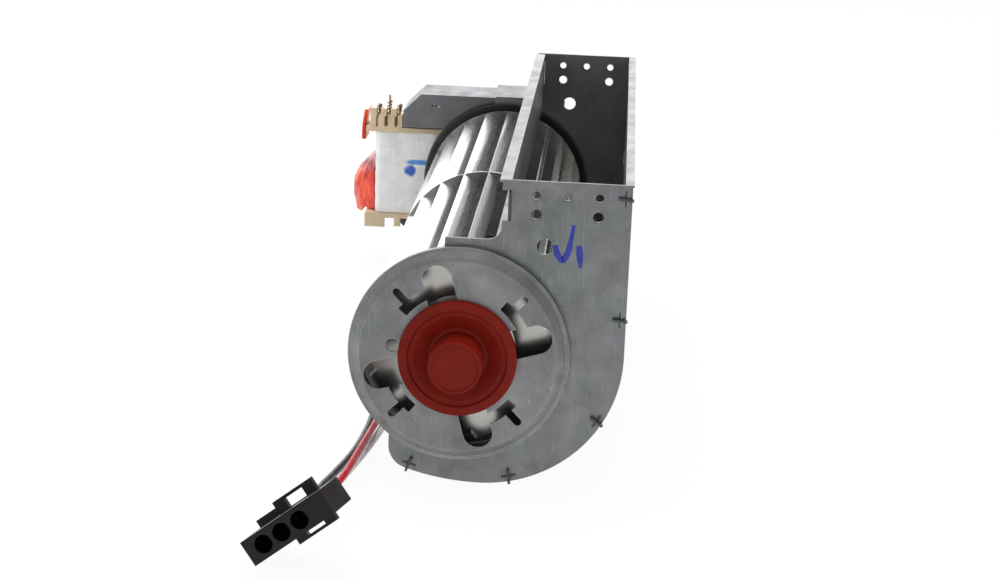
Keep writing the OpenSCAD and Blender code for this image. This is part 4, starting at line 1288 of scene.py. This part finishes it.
@dataclass(frozen=True)
class Studio:
    """The camera at the photograph's angle, the soft light and the pale floor.

    Attributes:
        eye: the camera's place in the row frame, metres.
        yaw, pitch, roll: its turn in degrees.
        focal_px: its focal length in pixels of a frame width_px wide.
        lamps: the panels over and beside the blower.
        target: the blower's middle, which they face.
        backdrop, room: strength of what metal mirrors, behind the blower and on the camera's side.
        level, above: strength of the soft light that comes from the sides and from overhead.
        paper, mirrored_paper: the floor's colour, and its colour in metal.
        floor_white, floor_mirrored: share of plain white in the floor to the camera and in metal.
        floor_z: the surface that the blower lies on, metres.
        floor_reach: half width of the floor, metres.
    """

    eye: Triple = (0.01383, -0.62495, 0.14996)
    yaw: float = -3.120
    pitch: float = 16.145
    roll: float = 2.153
    focal_px: float = 2055.23
    width_px: float = 1000.0
    sensor_mm: float = 36.0
    lamps: tuple[Lamp, ...] = (Lamp("top panel", (-0.2, 0.4, 0.9), 0.9, 9.0),
                               Lamp("side panel", (0.9, -0.1, 0.5), 0.7, 3.0))
    target: Triple = (-0.03, 0.12, -0.05)
    backdrop: float = 2.1
    room: float = 0.42
    level: float = 1.22
    above: float = 0.5
    paper: str = "#F4F4F4"
    mirrored_paper: str = "#E6E6E6"
    floor_white: float = 0.93
    floor_mirrored: float = 0.8
    floor_z: float = -0.0970
    floor_reach: float = 3.0

    def build_camera(self) -> None:
        """Places the camera as it stood for the photograph."""
        yaw, pitch, roll = (math.radians(a) for a in (self.yaw, self.pitch, self.roll))
        ahead = Vector((math.sin(yaw) * math.cos(pitch), math.cos(yaw) * math.cos(pitch), -math.sin(pitch)))
        level = Vector((math.cos(yaw), -math.sin(yaw), 0))
        upright = level.cross(ahead)
        right = math.cos(roll) * level + math.sin(roll) * upright
        up = -math.sin(roll) * level + math.cos(roll) * upright
        data = bpy.data.cameras.new("camera")
        data.sensor_fit = "HORIZONTAL"
        data.sensor_width = self.sensor_mm
        data.lens = self.focal_px / self.width_px * self.sensor_mm
        data.clip_start, data.clip_end = 0.01, 20
        camera = bpy.data.objects.new("camera", data)
        bpy.context.scene.collection.objects.link(camera)
        turn = Matrix((right, up, -ahead)).transposed()
        camera.matrix_world = Matrix.Translation(self.eye) @ turn.to_4x4()
        bpy.context.scene.camera = camera

    def build_light(self) -> None:
        """Lights the blower from above; metal mirrors a bright backdrop behind it and a dimmer room."""
        for lamp in self.lamps:
            lamp.build(self.target)
        world = bpy.data.worlds.new("pale room")
        bpy.context.scene.world = world
        world.use_nodes = True
        tree = world.node_tree
        tree.nodes.clear()
        path = add(tree, "ShaderNodeLightPath")
        seen = add(tree, "ShaderNodeMath", {0: path.outputs["Is Camera Ray"], 1: path.outputs["Is Transmission Ray"]},
                   operation="MAXIMUM")
        way = add(tree, "ShaderNodeSeparateXYZ", {0: add(tree, "ShaderNodeTexCoord").outputs["Generated"]})
        # How far a direction points behind the blower, a little more so where it points up.
        behind = add(tree, "ShaderNodeMath", {0: way.outputs["Z"], 1: 0.25, 2: way.outputs["Y"]},
                     operation="MULTIPLY_ADD")
        mirrored = add(tree, "ShaderNodeMapRange", {
            "Value": behind.outputs[0], "From Min": -0.1, "From Max": 0.8,
            "To Min": self.room, "To Max": self.backdrop})
        soft = add(tree, "ShaderNodeMapRange", {
            "Value": way.outputs["Z"], "From Min": 0.2, "From Max": 0.95, "To Min": self.level, "To Max": self.above})
        lighting = add(tree, "ShaderNodeMix", {
            FACTOR: path.outputs["Is Glossy Ray"], VALUE_A: soft.outputs[0], VALUE_B: mirrored.outputs[0]})
        strength = add(tree, "ShaderNodeMix", {
            FACTOR: seen.outputs[0], VALUE_A: lighting.outputs[0], VALUE_B: 1.0})
        sky = add(tree, "ShaderNodeBackground", {"Color": (1, 1, 1, 1), "Strength": strength.outputs[0]})
        add(tree, "ShaderNodeOutputWorld", {"Surface": sky.outputs[0]})

    def build_floor(self) -> None:
        """Lays the pale floor, white to the camera and in reflections, with the blower's shadow on it."""
        far = self.floor_reach
        corners = [Vector((x, y, self.floor_z)) for x, y in ((-far, -far), (far, -far), (far, far), (-far, far))]
        floor = new_object("floor", corners, [(0, 1, 2, 3)])
        material = bpy.data.materials.new("white paper")
        material.use_nodes = True
        tree = material.node_tree
        tree.nodes.clear()
        path = add(tree, "ShaderNodeLightPath")
        paper = add(tree, "ShaderNodeMix", {
            FACTOR: path.outputs["Is Glossy Ray"], COLOUR_A: linear(self.paper),
            COLOUR_B: linear(self.mirrored_paper)}, data_type="RGBA")
        matt = add(tree, "ShaderNodeBsdfDiffuse", {"Color": paper.outputs[MIXED]})
        glow = add(tree, "ShaderNodeEmission", {"Color": (1, 1, 1, 1), "Strength": 1.0})
        to_camera = add(tree, "ShaderNodeMath", {
            0: path.outputs["Is Camera Ray"], 1: self.floor_white}, operation="MULTIPLY")
        share = add(tree, "ShaderNodeMath", {
            0: path.outputs["Is Glossy Ray"], 1: self.floor_mirrored, 2: to_camera.outputs[0]},
            operation="MULTIPLY_ADD")
        both = add(tree, "ShaderNodeMixShader", {0: share.outputs[0], 1: matt.outputs[0], 2: glow.outputs[0]})
        add(tree, "ShaderNodeOutputMaterial", {"Surface": both.outputs[0]})
        floor.data.materials.append(material)

    def build(self) -> None:
        """Builds the camera, the floor and the light."""
        self.build_camera()
        self.build_floor()
        self.build_light()
        bpy.context.scene.view_settings.view_transform = "Standard"


def dress_nodes() -> None:
    """Gives each part of the source its finish."""
    for name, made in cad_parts.items():
        finish = BLADE if name.startswith("blade_") else CAD_FINISHES.get(name)
        if finish is None:
            continue
        for slot in made.material_slots:
            slot.material = finish.material()
        LOG.info("%s: %s", name, finish.name)


def main() -> None:
    logging.basicConfig(level=logging.INFO, format="%(name)s %(message)s")
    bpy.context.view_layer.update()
    Studio().build()
    builders: tuple[Callable[[], None], ...] = (*(lead.build for lead in LEADS), dress_nodes, Coil().build,
                                                Pressing().build, Housing().build)
    for build in builders:
        build()


if __name__ == "__main__":
    main()
